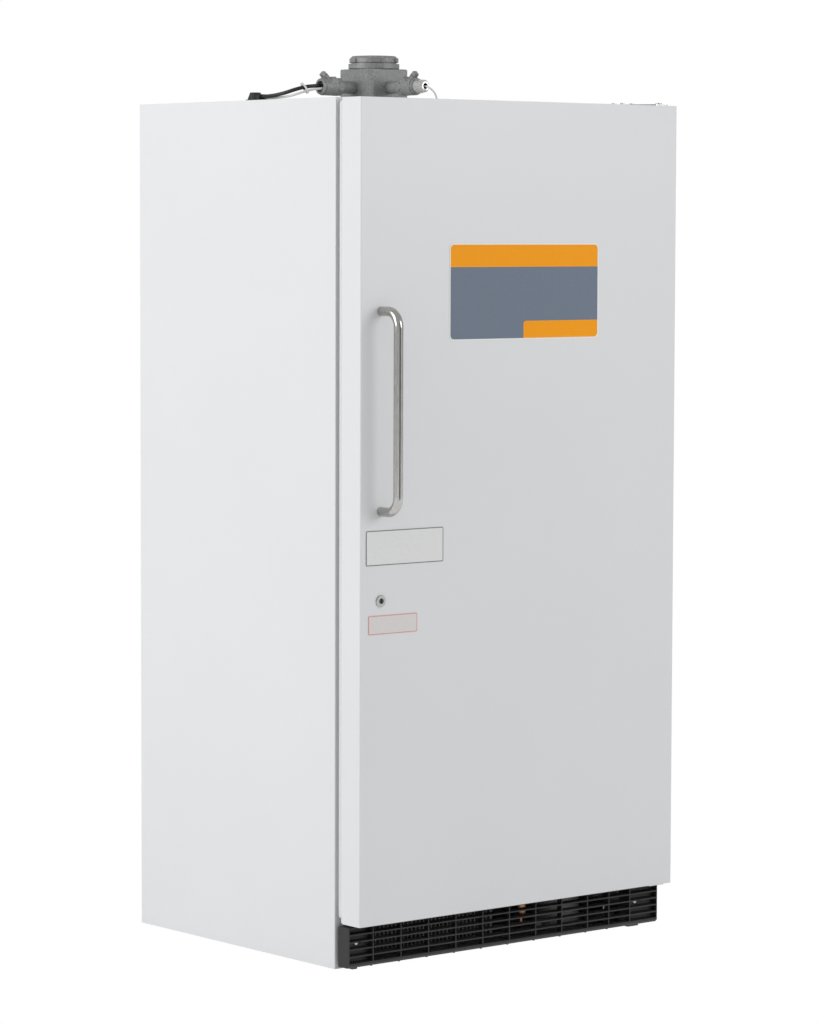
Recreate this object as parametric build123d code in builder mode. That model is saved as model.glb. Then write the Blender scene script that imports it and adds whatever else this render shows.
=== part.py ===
from build123d import *
import os
from math import cos, radians, sin, tan

# Explosion-proof upright freezer, in millimetres.
# +Z is up, the door faces -Y, and the origin is on the floor under the middle of the whole object.

# Driving sizes of the cabinet
cabinet_width = 880.0
cabinet_depth = 688.0
cabinet_height = 1800.0
foot_clearance = 6.0
sheet = 1.2
wall = 68.0
front_flange = 60.0
rear_flange = 25.0
lower_flange = 25.0
panel_bend = 2.5

# Driving sizes of the door
door_gap = 22.0
door_thickness = 60.0
door_sheet = 1.0
door_lift = 98.0
door_drop = 1.0
door_edge_radius = 3.0
door_heel_radius = 6.0

# Handle and lock on the door
fitting_inset = 54.0
handle_tube = 20.0
handle_standoff = 56.0
handle_bend = 32.0
handle_centres = 410.0
handle_low = 954.0
lock_height = 770.0

# Fits
slip = 0.05
seat = 0.3

# Screws on the rear cover stand proud of the back
cover_sheet = 1.2
screw_head = 2.0
screw_head_diameter = 9.0

# Reference planes and levels worked out from the driving sizes
half_width = cabinet_width / 2
base = foot_clearance
top = base + cabinet_height
front_reach = door_gap + door_thickness + handle_standoff + handle_tube / 2
rear_proud = cover_sheet + screw_head
front = (front_reach - cabinet_depth - rear_proud) / 2
rear = front + cabinet_depth
door_back = front - door_gap
door_front = door_back - door_thickness
door_bottom = base + door_lift
door_top = top - door_drop
door_height = door_top - door_bottom

# Machine compartment: low in front, tall at the rear
deck_low = base + 106.0
deck_high = base + 324.0
rear_bay_depth = 258.0
bay_front = rear - rear_bay_depth

# Freezer cavity
liner_wall = 2.0
cavity_half = half_width - wall
cavity_top = top - wall
cavity_floor = deck_low + 58.0
cavity_rear = rear - wall
hump_front = bay_front - 58.0
hump_top = deck_high + 60.0
strip_depth = 10.0
strip_width = 8.0
cavity_radius = 16.0

os.makedirs("parts", exist_ok=True)


def write(piece, name):
    """Label a finished piece and write it under its node name."""
    piece.part.label = name
    export_step(piece.part, f"parts/{name}.step")


# Roof fittings' places, needed for the holes in the roof
box_side = 109.0
box_x = -174.5
box_setback = 204.5
box_y = front + box_setback
fitting_height = 29.5
boot_x = -395.0
boot_y = front + 330.0
lead_x = -153.0
lead_y = front + 21.0
lead_hole = 8.0
boot_hole = 20.0
tab_reach = 20.0
box_bolts = [
    (box_x + box_side / 2 + tab_reach / 2, box_y + box_side / 4),
    (box_x - box_side / 4, box_y + box_side / 2 + tab_reach / 2),
]

# Places of the screws and bolts, which the panels have holes for
screw_shank = 4.0
cover_low = base + 4.0
cover_screw_x = half_width - 13.0
cover_screw_pitch = 94.0
cover_screw_levels = [cover_low + 24.0 + cover_screw_pitch * number for number in range(4)]
cover_screws = [(side * cover_screw_x, level) for side in (-1, 1) for level in cover_screw_levels]
pin_x = half_width - door_gap
pin_y = front - 47.0
hinge_left = half_width - 82.0
hinge_right = half_width - 7.0
bottom_leg_low = base + 54.0
bolt_shank = 6.0
bolt_reach = 12.0
top_bolts = [
    (hinge_left + 14.0, front + 18.0),
    (hinge_left + 14.0, front + 46.0),
    (pin_x - 6.0, front + 32.0),
]
bottom_bolts = [(half_width - 13.0, bottom_leg_low + 10.0), (half_width - 13.0, bottom_leg_low + 28.0)]

# Side panels: steel sheet folded to a channel, with a wide front flange that carries the gasket
with BuildPart() as side_panel_left:
    with BuildSketch(Plane.XY.offset(base)):
        with BuildLine():
            Polyline(
                (-half_width, front),
                (-half_width + front_flange, front),
                (-half_width + front_flange, front + sheet),
                (-half_width + sheet, front + sheet),
                (-half_width + sheet, rear - sheet),
                (-half_width + rear_flange, rear - sheet),
                (-half_width + rear_flange, rear),
                (-half_width, rear),
                close=True,
            )
        make_face()
    extrude(amount=cabinet_height)
    outer_folds = side_panel_left.edges().filter_by(Axis.Z).group_by(Axis.X)[0]
    fillet(outer_folds, panel_bend)
    # The flange narrows below the door, where the machine compartment opens
    with BuildSketch(Plane.XZ.offset(-front - sheet)):
        with Locations((-half_width + lower_flange, base)):
            Rectangle(front_flange, door_lift, align=(Align.MIN, Align.MIN))
    extrude(amount=sheet * 2, mode=Mode.SUBTRACT)
    with BuildSketch(Plane.XZ.offset(-rear)):
        with Locations(*cover_screws[:len(cover_screw_levels)]):
            Circle(screw_shank / 2 + slip)
    extrude(amount=2 * sheet, mode=Mode.SUBTRACT)
    with BuildSketch(Plane.XZ.offset(-front)):
        with Locations(*[(-bolt_x, bolt_z) for bolt_x, bolt_z in bottom_bolts]):
            Circle(bolt_shank / 2 + slip)
    extrude(amount=-2 * sheet, mode=Mode.SUBTRACT)
write(side_panel_left, "side_panel_left")

with BuildPart() as side_panel_right:
    mirror(side_panel_left.part, about=Plane.YZ)
write(side_panel_right, "side_panel_right")

# Roof panel: a sheet between the side panels, folded down at the front and at the rear
with BuildPart() as roof_panel:
    with BuildSketch(Plane.YZ.offset(-half_width + sheet)):
        with BuildLine():
            Polyline(
                (front, top),
                (front, top - sheet),
                (front + sheet, top - sheet),
                (rear - sheet, top - sheet),
                (rear - sheet, top - rear_flange),
                (rear, top - rear_flange),
                (rear, top),
                close=True,
            )
        make_face()
    extrude(amount=cabinet_width - 2 * sheet)
    # The front fold fits between the flanges of the side panels
    with BuildSketch(Plane.XZ.offset(-front)):
        with Locations((0, top)):
            Rectangle(cabinet_width - 2 * front_flange, front_flange, align=(Align.CENTER, Align.MAX))
    extrude(amount=-sheet)
    with Locations((lead_x, lead_y, top)):
        Hole(lead_hole / 2, depth=sheet * 2)
    with Locations((boot_x, boot_y, top)):
        Hole(boot_hole / 2, depth=sheet * 2)
    with BuildSketch(Plane.XY.offset(top)):
        with Locations(*top_bolts, *box_bolts):
            Circle(bolt_shank / 2 + slip)
    extrude(amount=-sheet, mode=Mode.SUBTRACT)
    # The corners clear the flanges and the folds of the side panels
    for side in (-1, 1):
        with BuildSketch(Plane.XY.offset(top + sheet)):
            with Locations((side * half_width, front)):
                Rectangle(front_flange * 2, sheet * 2)
            with Locations((side * half_width, rear)):
                Rectangle(rear_flange * 2, sheet * 2)
        extrude(amount=-rear_flange * 2, mode=Mode.SUBTRACT)
write(roof_panel, "roof_panel")

# Back panel: flat sheet behind the insulation, inside the rear flanges
with BuildPart() as back_panel:
    with BuildSketch(Plane.XZ.offset(-rear + 2 * sheet)):
        with BuildLine():
            Polyline(
                (-half_width + sheet, deck_high),
                (half_width - sheet, deck_high),
                (half_width - sheet, top - sheet),
                (-half_width + sheet, top - sheet),
                close=True,
            )
        make_face()
    extrude(amount=-sheet)
write(back_panel, "back_panel")

# Lower front rail: folded sheet across the front, under the mouth of the cavity
rail_leg = 40.0
with BuildPart() as front_rail:
    with BuildSketch(Plane.YZ.offset(-half_width + front_flange)):
        with BuildLine():
            Polyline(
                (front, door_bottom),
                (front + rail_leg, door_bottom),
                (front + rail_leg, door_bottom + sheet),
                (front + sheet, door_bottom + sheet),
                (front + sheet, cavity_floor - strip_width),
                (front, cavity_floor - strip_width),
                close=True,
            )
        make_face()
    extrude(amount=cabinet_width - 2 * front_flange)
write(front_rail, "front_rail")

# Suction riser's place: it passes the shelves, the hump and the deck
riser_x = cavity_half - 26.0
riser_y = cavity_rear - 18.0
riser_diameter = 9.5
riser_joint = deck_high - 20.0

# Compartment deck: one bent sheet that closes the insulation above the machine compartment
with BuildPart() as compartment_deck:
    with BuildSketch(Plane.YZ.offset(-half_width + sheet)):
        with BuildLine():
            Polyline(
                (front + sheet, deck_low),
                (bay_front, deck_low),
                (bay_front, deck_high),
                (rear - 2 * sheet, deck_high),
                (rear - 2 * sheet, deck_high - sheet),
                (bay_front + sheet, deck_high - sheet),
                (bay_front + sheet, deck_low - sheet),
                (front + sheet, deck_low - sheet),
                close=True,
            )
        make_face()
    extrude(amount=cabinet_width - 2 * sheet)
    with Locations((riser_x, riser_y, deck_high)):
        Hole(riser_diameter / 2 + 2 * seat, depth=sheet * 2)
write(compartment_deck, "compartment_deck")


def cavity_form(grow):
    """The cavity as a solid, its walls moved outwards by grow, from the strip to the back wall."""
    radius = cavity_radius + grow
    with BuildPart() as form:
        with BuildSketch(Plane.YZ.offset(-cavity_half - grow)):
            with BuildLine():
                Polyline(
                    (front + strip_depth, cavity_floor - grow),
                    (hump_front - grow, cavity_floor - grow),
                    (hump_front - grow, hump_top - grow),
                    (cavity_rear + grow, hump_top - grow),
                    (cavity_rear + grow, cavity_top + grow),
                    (front + strip_depth, cavity_top + grow),
                    close=True,
                )
            make_face()
            rounded = vertices().sort_by(Axis.X)[2:]
            fillet(rounded, radius)
        extrude(amount=2 * (cavity_half + grow))
        rear_corners = form.edges().filter_by(Axis.Z).sort_by(Axis.Y)[-2:]
        fillet(rear_corners, radius * 0.9)
    return form.part


# Inner liner: vacuum-formed tub with rounded corners and a hump over the compressor bay
with BuildPart() as inner_liner:
    add(cavity_form(liner_wall))
    add(cavity_form(0), mode=Mode.SUBTRACT)
    with Locations((riser_x, riser_y, hump_top)):
        Hole(riser_diameter / 2 + slip, depth=liner_wall * 2)
write(inner_liner, "inner_liner")

# Cabinet insulation: foam that fills the space between the panels and the liner
with BuildPart() as foam_insulation:
    with BuildSketch(Plane.YZ.offset(-half_width + sheet)):
        with BuildLine():
            Polyline(
                (front + sheet, deck_low),
                (bay_front, deck_low),
                (bay_front, deck_high),
                (rear - 2 * sheet, deck_high),
                (rear - 2 * sheet, top - sheet),
                (front + sheet, top - sheet),
                close=True,
            )
        make_face()
    extrude(amount=cabinet_width - 2 * sheet)
    add(cavity_form(liner_wall), mode=Mode.SUBTRACT)
    with BuildSketch(Plane.XZ.offset(-front - strip_depth)):
        with BuildLine():
            Polyline(
                (-cavity_half - strip_width, cavity_floor - strip_width),
                (cavity_half + strip_width, cavity_floor - strip_width),
                (cavity_half + strip_width, cavity_top + strip_width),
                (-cavity_half - strip_width, cavity_top + strip_width),
                close=True,
            )
        make_face()
    extrude(amount=strip_depth, mode=Mode.SUBTRACT)
    with Locations((riser_x, riser_y, hump_top)):
        Hole(riser_diameter / 2 + seat, depth=wall * 1.5)
    with Locations((lead_x, lead_y, top)):
        Hole(lead_hole / 2 + 1.5, depth=12)
    with Locations((boot_x, boot_y, top)):
        Hole(boot_hole / 2 + 1.5, depth=12)
    with BuildSketch(Plane.XY.offset(top)):
        with Locations(*top_bolts, *box_bolts):
            Circle(bolt_shank / 2 + seat)
    extrude(amount=-bolt_reach - seat, mode=Mode.SUBTRACT)
write(foam_insulation, "foam_insulation")

# Breaker strip: plastic frame that bridges the steel flange and the liner
with BuildPart() as breaker_strip:
    with BuildSketch(Plane.XZ.offset(-front)) as strip_face:
        with Locations((0, (cavity_floor + cavity_top) / 2)):
            Rectangle(2 * (cavity_half + strip_width), cavity_top - cavity_floor + 2 * strip_width)
            Rectangle(2 * cavity_half, cavity_top - cavity_floor, mode=Mode.SUBTRACT)
    extrude(amount=-strip_depth)
write(breaker_strip, "breaker_strip")

# Shelves: refrigerated plates with raised channels, each on four brackets
shelf_count = 4
shelf_first = hump_top + 78.0
shelf_pitch = 320.0
shelf_half = cavity_half - 14.0
shelf_front = front + 52.0
shelf_rear = cavity_rear - 8.0
shelf_sheet = 2.4
shelf_lip = 14.0
channel_height = 3.0
channel_width = 12.0
channel_rows = 7
bracket_reach = 26.0
bracket_width = 24.0
bracket_height = 28.0
bracket_edge = 4.0
bracket_inset = 90.0


def shelf_level(index):
    """Height of a shelf's underside."""
    return shelf_first + index * shelf_pitch


for shelf_index in range(shelf_count):
    level = shelf_level(shelf_index)
    shelf_depth = shelf_rear - shelf_front
    shelf_middle = (shelf_rear + shelf_front) / 2
    with BuildPart() as shelf:
        with BuildSketch(Plane.XY.offset(level)):
            with Locations((0, shelf_middle)):
                RectangleRounded(2 * shelf_half, shelf_depth, cavity_radius)
        extrude(amount=shelf_sheet)
        # Channels that carry the refrigerant stand up from the plate, joined in turn at their ends
        with BuildSketch(Plane.XY.offset(level + shelf_sheet)):
            row_pitch = (shelf_depth - 90.0) / (channel_rows - 1)
            with Locations((0, shelf_middle)):
                with GridLocations(0, row_pitch, 1, channel_rows):
                    Rectangle(2 * shelf_half - 120.0, channel_width)
            for turn in range(channel_rows - 1):
                turn_side = 1 if turn % 2 else -1
                turn_y = shelf_middle + (turn - (channel_rows - 2) / 2) * row_pitch
                with Locations((turn_side * (shelf_half - 60.0), turn_y)):
                    Rectangle(channel_width, row_pitch + channel_width)
        extrude(amount=channel_height)
        # Folded front lip
        with Locations((0, shelf_front, level)):
            Box(
                2 * (shelf_half - cavity_radius), shelf_sheet, shelf_lip,
                align=(Align.CENTER, Align.MIN, Align.MAX),
            )
        with Locations((riser_x, riser_y, level + shelf_sheet)):
            Hole(riser_diameter / 2 + slip, depth=shelf_sheet * 2)
    write(shelf, f"shelf_{shelf_index + 1}")

# Shelf brackets: moulded gussets on the side walls of the liner
with BuildPart() as shelf_brackets:
    for bracket_index in range(shelf_count):
        level = shelf_level(bracket_index)
        for bracket_y in (shelf_front + bracket_inset, shelf_rear - bracket_inset):
            for side in (-1, 1):
                with BuildSketch(Plane.XZ.offset(-bracket_y - bracket_width / 2)):
                    with BuildLine():
                        Polyline(
                            (side * cavity_half, level),
                            (side * (cavity_half - bracket_reach), level),
                            (side * (cavity_half - bracket_reach), level - bracket_edge),
                            (side * (cavity_half - bracket_edge), level - bracket_height),
                            (side * cavity_half, level - bracket_height),
                            close=True,
                        )
                    make_face()
                extrude(amount=bracket_width)
write(shelf_brackets, "shelf_brackets")

# Base pan: floor sheet with side upstands, bosses for the feet, studs for the compressor and grille tabs
pan_sheet = 2.0
pan_upstand = 30.0
foot_inset_x = 65.0
foot_inset_y = 65.0
foot_boss = 36.0
foot_boss_height = 18.0
foot_stud = 10.0
compressor_x = 190.0
compressor_y = rear - 135.0
mount_half_x = 82.0
mount_half_y = 58.0
mount_stud = 8.0
mount_height = 12.0
screw_left_x = -407.0
screw_right_x = 380.0
tab_left_width = 13.0
tab_right_width = 30.0
tab_top = base + 75.0
pan_top = base + pan_sheet
grille_recess = 14.0
grille_back = 7.0
grille_depth = 35.0
grille_wall = 2.5
grille_front = front - grille_back - grille_depth
grille_plate_back = grille_front + grille_recess + grille_wall
foot_places = [
    (side_x * (half_width - foot_inset_x), end_y)
    for end_y in (front + foot_inset_y, rear - foot_inset_y)
    for side_x in (-1, 1)
]
mount_places = [
    (compressor_x + side_x * mount_half_x, compressor_y + side_y * mount_half_y)
    for side_x in (-1, 1)
    for side_y in (-1, 1)
]
with BuildPart() as base_pan:
    with BuildSketch(Plane.XZ.offset(-rear + sheet)):
        with BuildLine():
            Polyline(
                (-half_width + sheet, base),
                (half_width - sheet, base),
                (half_width - sheet, base + pan_upstand),
                (half_width - sheet - pan_sheet, base + pan_upstand),
                (half_width - sheet - pan_sheet, pan_top),
                (-half_width + sheet + pan_sheet, pan_top),
                (-half_width + sheet + pan_sheet, base + pan_upstand),
                (-half_width + sheet, base + pan_upstand),
                close=True,
            )
        make_face()
    extrude(amount=cabinet_depth - 2 * sheet)
    with BuildSketch(Plane.XY.offset(pan_top)):
        with Locations(*foot_places):
            RectangleRounded(foot_boss, foot_boss, 5)
    extrude(amount=foot_boss_height)
    for place in foot_places:
        with Locations((place[0], place[1], pan_top + foot_boss_height)):
            Hole(foot_stud / 2 + slip, depth=foot_boss_height + 2 * pan_sheet)
    with BuildSketch(Plane.XY.offset(pan_top)):
        with Locations(*mount_places):
            Circle(mount_stud / 2)
    extrude(amount=mount_height + 10.0)
    # Two tabs run forward under the flanges and stand up behind the grille's ends
    for tab_x, tab_width in ((screw_left_x, tab_left_width), (screw_right_x, tab_right_width)):
        with BuildSketch(Plane.YZ.offset(tab_x - tab_width / 2)):
            with BuildLine():
                Polyline(
                    (front + sheet, base),
                    (front + sheet, pan_top),
                    (grille_plate_back + pan_sheet, pan_top),
                    (grille_plate_back + pan_sheet, tab_top),
                    (grille_plate_back, tab_top),
                    (grille_plate_back, base),
                    close=True,
                )
            make_face()
        extrude(amount=tab_width)
    grille_screw_height = base + 55.0
    for tab_x in (screw_left_x, screw_right_x):
        with Locations(Plane(origin=(tab_x, grille_plate_back, grille_screw_height), z_dir=(0, -1, 0))):
            Hole(2.1, depth=2 * pan_sheet)
write(base_pan, "base_pan")

# Levelling feet: a round pad under a threaded stud, turned by hand to raise a corner
foot_pad_radius = 18.0
foot_pad_height = foot_clearance - 0.6
foot_stud_top = 44.0
foot_names = ["foot_front_left", "foot_front_right", "foot_rear_left", "foot_rear_right"]
for place, foot_name in zip(foot_places, foot_names):
    with BuildPart() as levelling_foot:
        with BuildSketch(Plane.XY):
            with Locations(place):
                Circle(foot_pad_radius)
        extrude(amount=foot_pad_height)
        chamfer(levelling_foot.edges().sort_by(Axis.Z)[-1], 1.5)
        with BuildSketch(Plane.XY.offset(foot_pad_height)):
            with Locations(place):
                Circle(foot_stud / 2)
        extrude(amount=foot_stud_top - foot_pad_height)
        chamfer(levelling_foot.edges().sort_by(Axis.Z)[-1], 1.0)
    write(levelling_foot, foot_name)

# Kick grille: one moulding with sloping blades, cross ribs, end plates and side returns
grille_half = half_width - 4.0
grille_bottom = base + 6.0
grille_top = base + 91.0
blade_front = 2.8
blade_rise = 2.5
blade_pitch = 15.2
blade_count = 4
rail_height = 12.0
rail_chamfer = 5.0
top_rail = 3.5
rib_thickness = 2.5
rib_pitch = 75.0
rib_first = -371.0
rib_count = 9
rib_foot = 1.5
rib_near_right = 292.0
rib_right_end = 354.0
end_box_depth = 33.0
blade_back = grille_front + grille_recess
regular_ribs = [rib_first + rib_pitch * number for number in range(rib_count)]
with BuildPart() as kick_grille:
    with BuildSketch(Plane.YZ.offset(-grille_half)):
        # Bottom rail with its lower front edge cut away
        with BuildLine():
            Polyline(
                (grille_front + rail_chamfer, grille_bottom),
                (blade_back, grille_bottom),
                (blade_back, grille_bottom + rail_height),
                (grille_front, grille_bottom + rail_height - blade_rise),
                (grille_front, grille_bottom + rail_chamfer),
                close=True,
            )
        make_face()
        # Top rail, a lip that reaches back under the door
        with Locations((grille_front, grille_top)):
            Rectangle(grille_depth - grille_wall, top_rail, align=(Align.MIN, Align.MAX))
        for number in range(blade_count):
            blade_low = grille_bottom + rail_height - blade_rise + blade_pitch * (number + 1) - blade_front
            with BuildLine():
                Polyline(
                    (grille_front, blade_low),
                    (blade_back, blade_low + blade_rise),
                    (blade_back, blade_low + blade_rise + blade_front),
                    (grille_front, blade_low + blade_front),
                    close=True,
                )
            make_face()
    extrude(amount=2 * grille_half)
    # Side returns with rounded lower corners
    for return_x in (-grille_half, grille_half - grille_wall):
        with BuildSketch(Plane.YZ.offset(return_x)):
            with Locations((grille_front, grille_bottom)):
                Rectangle(grille_depth, grille_top - grille_bottom, align=(Align.MIN, Align.MIN))
            chamfer(vertices().group_by(Axis.Y)[0].sort_by(Axis.X)[0], rail_chamfer)
            fillet(vertices().sort_by(Axis.X)[-1:] + vertices().sort_by(Axis.X)[-2:-1], 3.0)
        extrude(amount=grille_wall)
    # Ribs tie the blades together and end in small feet under the rail
    for rib_x in regular_ribs + [rib_near_right]:
        with BuildSketch(Plane.YZ.offset(rib_x - rib_thickness / 2)):
            with Locations((grille_front + rail_chamfer, grille_bottom - rib_foot)):
                Rectangle(
                    grille_recess - rail_chamfer, grille_top - grille_bottom + rib_foot,
                    align=(Align.MIN, Align.MIN),
                )
            with Locations((grille_front, grille_bottom + rail_chamfer)):
                Rectangle(
                    grille_recess, grille_top - grille_bottom - rail_chamfer, align=(Align.MIN, Align.MIN)
                )
        extrude(amount=rib_thickness)
    # Wall of the right-hand end box, deeper than the ribs
    with BuildSketch(Plane.YZ.offset(rib_right_end - rib_thickness / 2)):
        with Locations((grille_front, grille_bottom + rail_chamfer)):
            Rectangle(
                end_box_depth, grille_top - grille_bottom - rail_chamfer, align=(Align.MIN, Align.MIN)
            )
    extrude(amount=rib_thickness)
    # End plates behind the blades take the fixing screws
    end_plates = ((-grille_half, regular_ribs[0]), (rib_right_end, grille_half))
    for plate_left, plate_right in end_plates:
        with BuildSketch(Plane.XZ.offset(-grille_plate_back)):
            with Locations((plate_left, grille_bottom)):
                Rectangle(
                    plate_right - plate_left, grille_top - grille_bottom, align=(Align.MIN, Align.MIN)
                )
            with Locations((screw_left_x, grille_screw_height), (screw_right_x, grille_screw_height)):
                Circle(2.2, mode=Mode.SUBTRACT)
        extrude(amount=grille_wall)
    # The blades stop short of the screw heads
    for pocket_x in (screw_left_x, screw_right_x):
        with BuildSketch(Plane.XZ.offset(-blade_back)):
            with Locations((pocket_x, grille_screw_height)):
                Circle(screw_head_diameter / 2 + 1.5)
        extrude(amount=grille_recess, mode=Mode.SUBTRACT)
write(kick_grille, "kick_grille")

# Door outline and the depths of what sits behind it, measured from the cabinet's front plane
gasket_base = 11.0
gasket_gap = 0.3
gasket_outer = half_width - 2.0
gasket_inner = gasket_outer - 40.5
gasket_low = door_bottom + 8.0
gasket_high = door_top - 4.0
gasket_margin = 40.0
bulb_outer = gasket_outer - 23.0
bulb_inner = gasket_outer - 39.0
bulb_low = gasket_low + 23.0
bulb_high = gasket_high - 23.0
door_liner_wall = 2.0
plug_half = cavity_half - 6.0
plug_reach = 12.0
plug_taper = 9.0
handle_x = -half_width + fitting_inset
handle_bottom = base + handle_low
handle_top = handle_bottom + handle_centres
handle_y = door_front - handle_standoff
handle_wall = 1.5
handle_end_plug = 14.0
handle_thread = 6.0
handle_screw_reach = 11.0
handle_screw_head = 12.0
handle_screw_head_height = 4.0
lock_level = base + lock_height
lock_bezel = 25.0
lock_bezel_height = 3.0
lock_barrel = 19.0
lock_bore = 12.0
lock_reach = front - 11.0
pin_diameter = 10.0
pin_engagement = 20.0
bush_diameter = 16.0
bush_length = pin_engagement
thrust_diameter = 24.0
thrust_height = 2.0
handle_ends = [(handle_x, handle_bottom), (handle_x, handle_top)]


def door_form(inset, back):
    """The door's outer shape moved inwards by inset, open towards the plane y = back."""
    width = door_edge_radius - inset
    with BuildPart() as form:
        with BuildSketch(Plane.XY.offset(door_bottom + inset)):
            with BuildLine():
                Polyline(
                    (-half_width + inset, back),
                    (half_width - inset, back),
                    (half_width - inset, door_front + inset),
                    (-half_width + inset, door_front + inset),
                    close=True,
                )
            make_face()
            fillet(vertices().group_by(Axis.Y)[0], width)
        extrude(amount=door_height - 2 * inset)
        heel = form.faces().sort_by(Axis.Z)[0].edges().sort_by(Axis.Y)[-1]
        fillet(heel, door_heel_radius - inset)
    return form.part


# Door panel: one deep-drawn steel pan, open towards the cabinet
with BuildPart() as door_panel:
    add(door_form(0, door_back))
    add(door_form(door_sheet, door_back - door_sheet), mode=Mode.SUBTRACT)
    with BuildSketch(Plane.XZ.offset(-door_back)):
        with Locations((0, door_bottom + door_heel_radius)):
            Rectangle(
                2 * (half_width - door_sheet), door_height - door_heel_radius - door_sheet,
                align=(Align.CENTER, Align.MIN),
            )
    extrude(amount=door_sheet * 2, mode=Mode.SUBTRACT)
    with BuildSketch(Plane.XZ.offset(-door_front)):
        with Locations(*handle_ends):
            Circle(handle_thread / 2 + slip)
        with Locations((handle_x, lock_level)):
            Circle(lock_barrel / 2 + slip)
    extrude(amount=-door_sheet, mode=Mode.SUBTRACT)
    for level in (door_bottom, door_top):
        with Locations((pin_x, pin_y, level)):
            Cylinder(bush_diameter / 2 + slip, 4 * door_sheet, mode=Mode.SUBTRACT)
write(door_panel, "door_panel")


def plug_form(shrink):
    """The raised middle of the door liner as a tapered solid, its walls moved inwards by shrink."""
    with BuildPart() as form:
        low = cavity_floor + 6.0 + shrink
        high = cavity_top - 6.0 - shrink
        wide = plug_half - shrink
        with BuildSketch(Plane.XZ.offset(-door_back + door_liner_wall)):
            with Locations((0, (low + high) / 2)):
                RectangleRounded(2 * wide, high - low, cavity_radius - shrink)
        with BuildSketch(Plane.XZ.offset(-front - plug_reach + shrink)):
            with Locations((0, (low + high) / 2)):
                RectangleRounded(
                    2 * (wide - plug_taper), high - low - 2 * plug_taper, cavity_radius - shrink
                )
        loft()
    return form.part


# Door liner: vacuum-formed sheet with a raised, tapered middle that enters the mouth of the cavity
with BuildPart() as door_liner:
    with BuildSketch(Plane.XZ.offset(-door_back + door_liner_wall)):
        with Locations((0, door_bottom + door_heel_radius + slip)):
            Rectangle(
                2 * (half_width - door_sheet - slip), door_height - door_heel_radius - door_sheet - 2 * slip,
                align=(Align.CENTER, Align.MIN),
            )
    extrude(amount=-door_liner_wall)
    add(plug_form(0))
    add(plug_form(door_liner_wall), mode=Mode.SUBTRACT)
    with BuildSketch(Plane.XZ.offset(-door_back + door_liner_wall)):
        with Locations((handle_x, lock_level)):
            Circle(lock_barrel / 2 + slip)
    extrude(amount=-door_liner_wall, mode=Mode.SUBTRACT)
write(door_liner, "door_liner")

# Door insulation: foam inside the pan and the raised liner, with pockets for what passes into it
with BuildPart() as door_foam:
    add(door_form(door_sheet, door_back - door_sheet))
    with BuildSketch(Plane.XZ.offset(-door_back + door_liner_wall)):
        Rectangle(2 * cabinet_width, 4 * cabinet_height)
    extrude(amount=-door_liner_wall, mode=Mode.SUBTRACT)
    add(plug_form(door_liner_wall))
    with BuildSketch(Plane.XZ.offset(-door_front - door_sheet)):
        with Locations(*handle_ends):
            Circle(handle_screw_head / 2 + seat)
    extrude(amount=-handle_screw_head_height - seat, mode=Mode.SUBTRACT)
    with BuildSketch(Plane.XZ.offset(-door_front)):
        with Locations((handle_x, lock_level)):
            Circle(lock_barrel / 2 + slip)
    extrude(amount=-door_thickness, mode=Mode.SUBTRACT)
    for level in (door_bottom, door_top):
        with Locations((pin_x, pin_y, level)):
            Cylinder(bush_diameter / 2 + slip, 2 * (bush_length + seat), mode=Mode.SUBTRACT)
write(door_foam, "door_foam")


def frame_ring(outer, inner, low, high, inner_low, inner_high, plane_y, depth, radius):
    """A rectangular frame, its front plane at plane_y, reaching back by depth."""
    with BuildPart() as ring:
        with BuildSketch(Plane.XZ.offset(-plane_y)):
            with Locations((0, (low + high) / 2)):
                RectangleRounded(2 * outer, high - low, radius)
            with Locations((0, (inner_low + inner_high) / 2)):
                Rectangle(2 * inner, inner_high - inner_low, mode=Mode.SUBTRACT)
        extrude(amount=-depth)
    return ring.part


# Door gasket: wide base on the door liner and a narrower magnetic bulb that meets the cabinet
gasket_radius = 10.0
groove_edge = 8.0
groove_depth = 6.0
with BuildPart() as door_gasket:
    add(
        frame_ring(
            gasket_outer, gasket_inner, gasket_low, gasket_high, gasket_low + gasket_margin,
            gasket_high - gasket_margin, door_back, gasket_base, gasket_radius,
        )
    )
    add(
        frame_ring(
            bulb_outer, bulb_inner, bulb_low, bulb_high, bulb_low + 16.0, bulb_high - 16.0,
            door_back + gasket_base, door_gap - gasket_base - gasket_gap, gasket_radius / 2,
        )
    )
    # The base is hollow towards the liner
    add(
        frame_ring(
            gasket_outer - groove_edge, gasket_inner + groove_edge, gasket_low + groove_edge,
            gasket_high - groove_edge, gasket_low + gasket_margin - groove_edge,
            gasket_high - gasket_margin + groove_edge, door_back, groove_depth, gasket_radius / 2,
        ),
        mode=Mode.SUBTRACT,
    )
write(door_gasket, "door_gasket")

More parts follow.
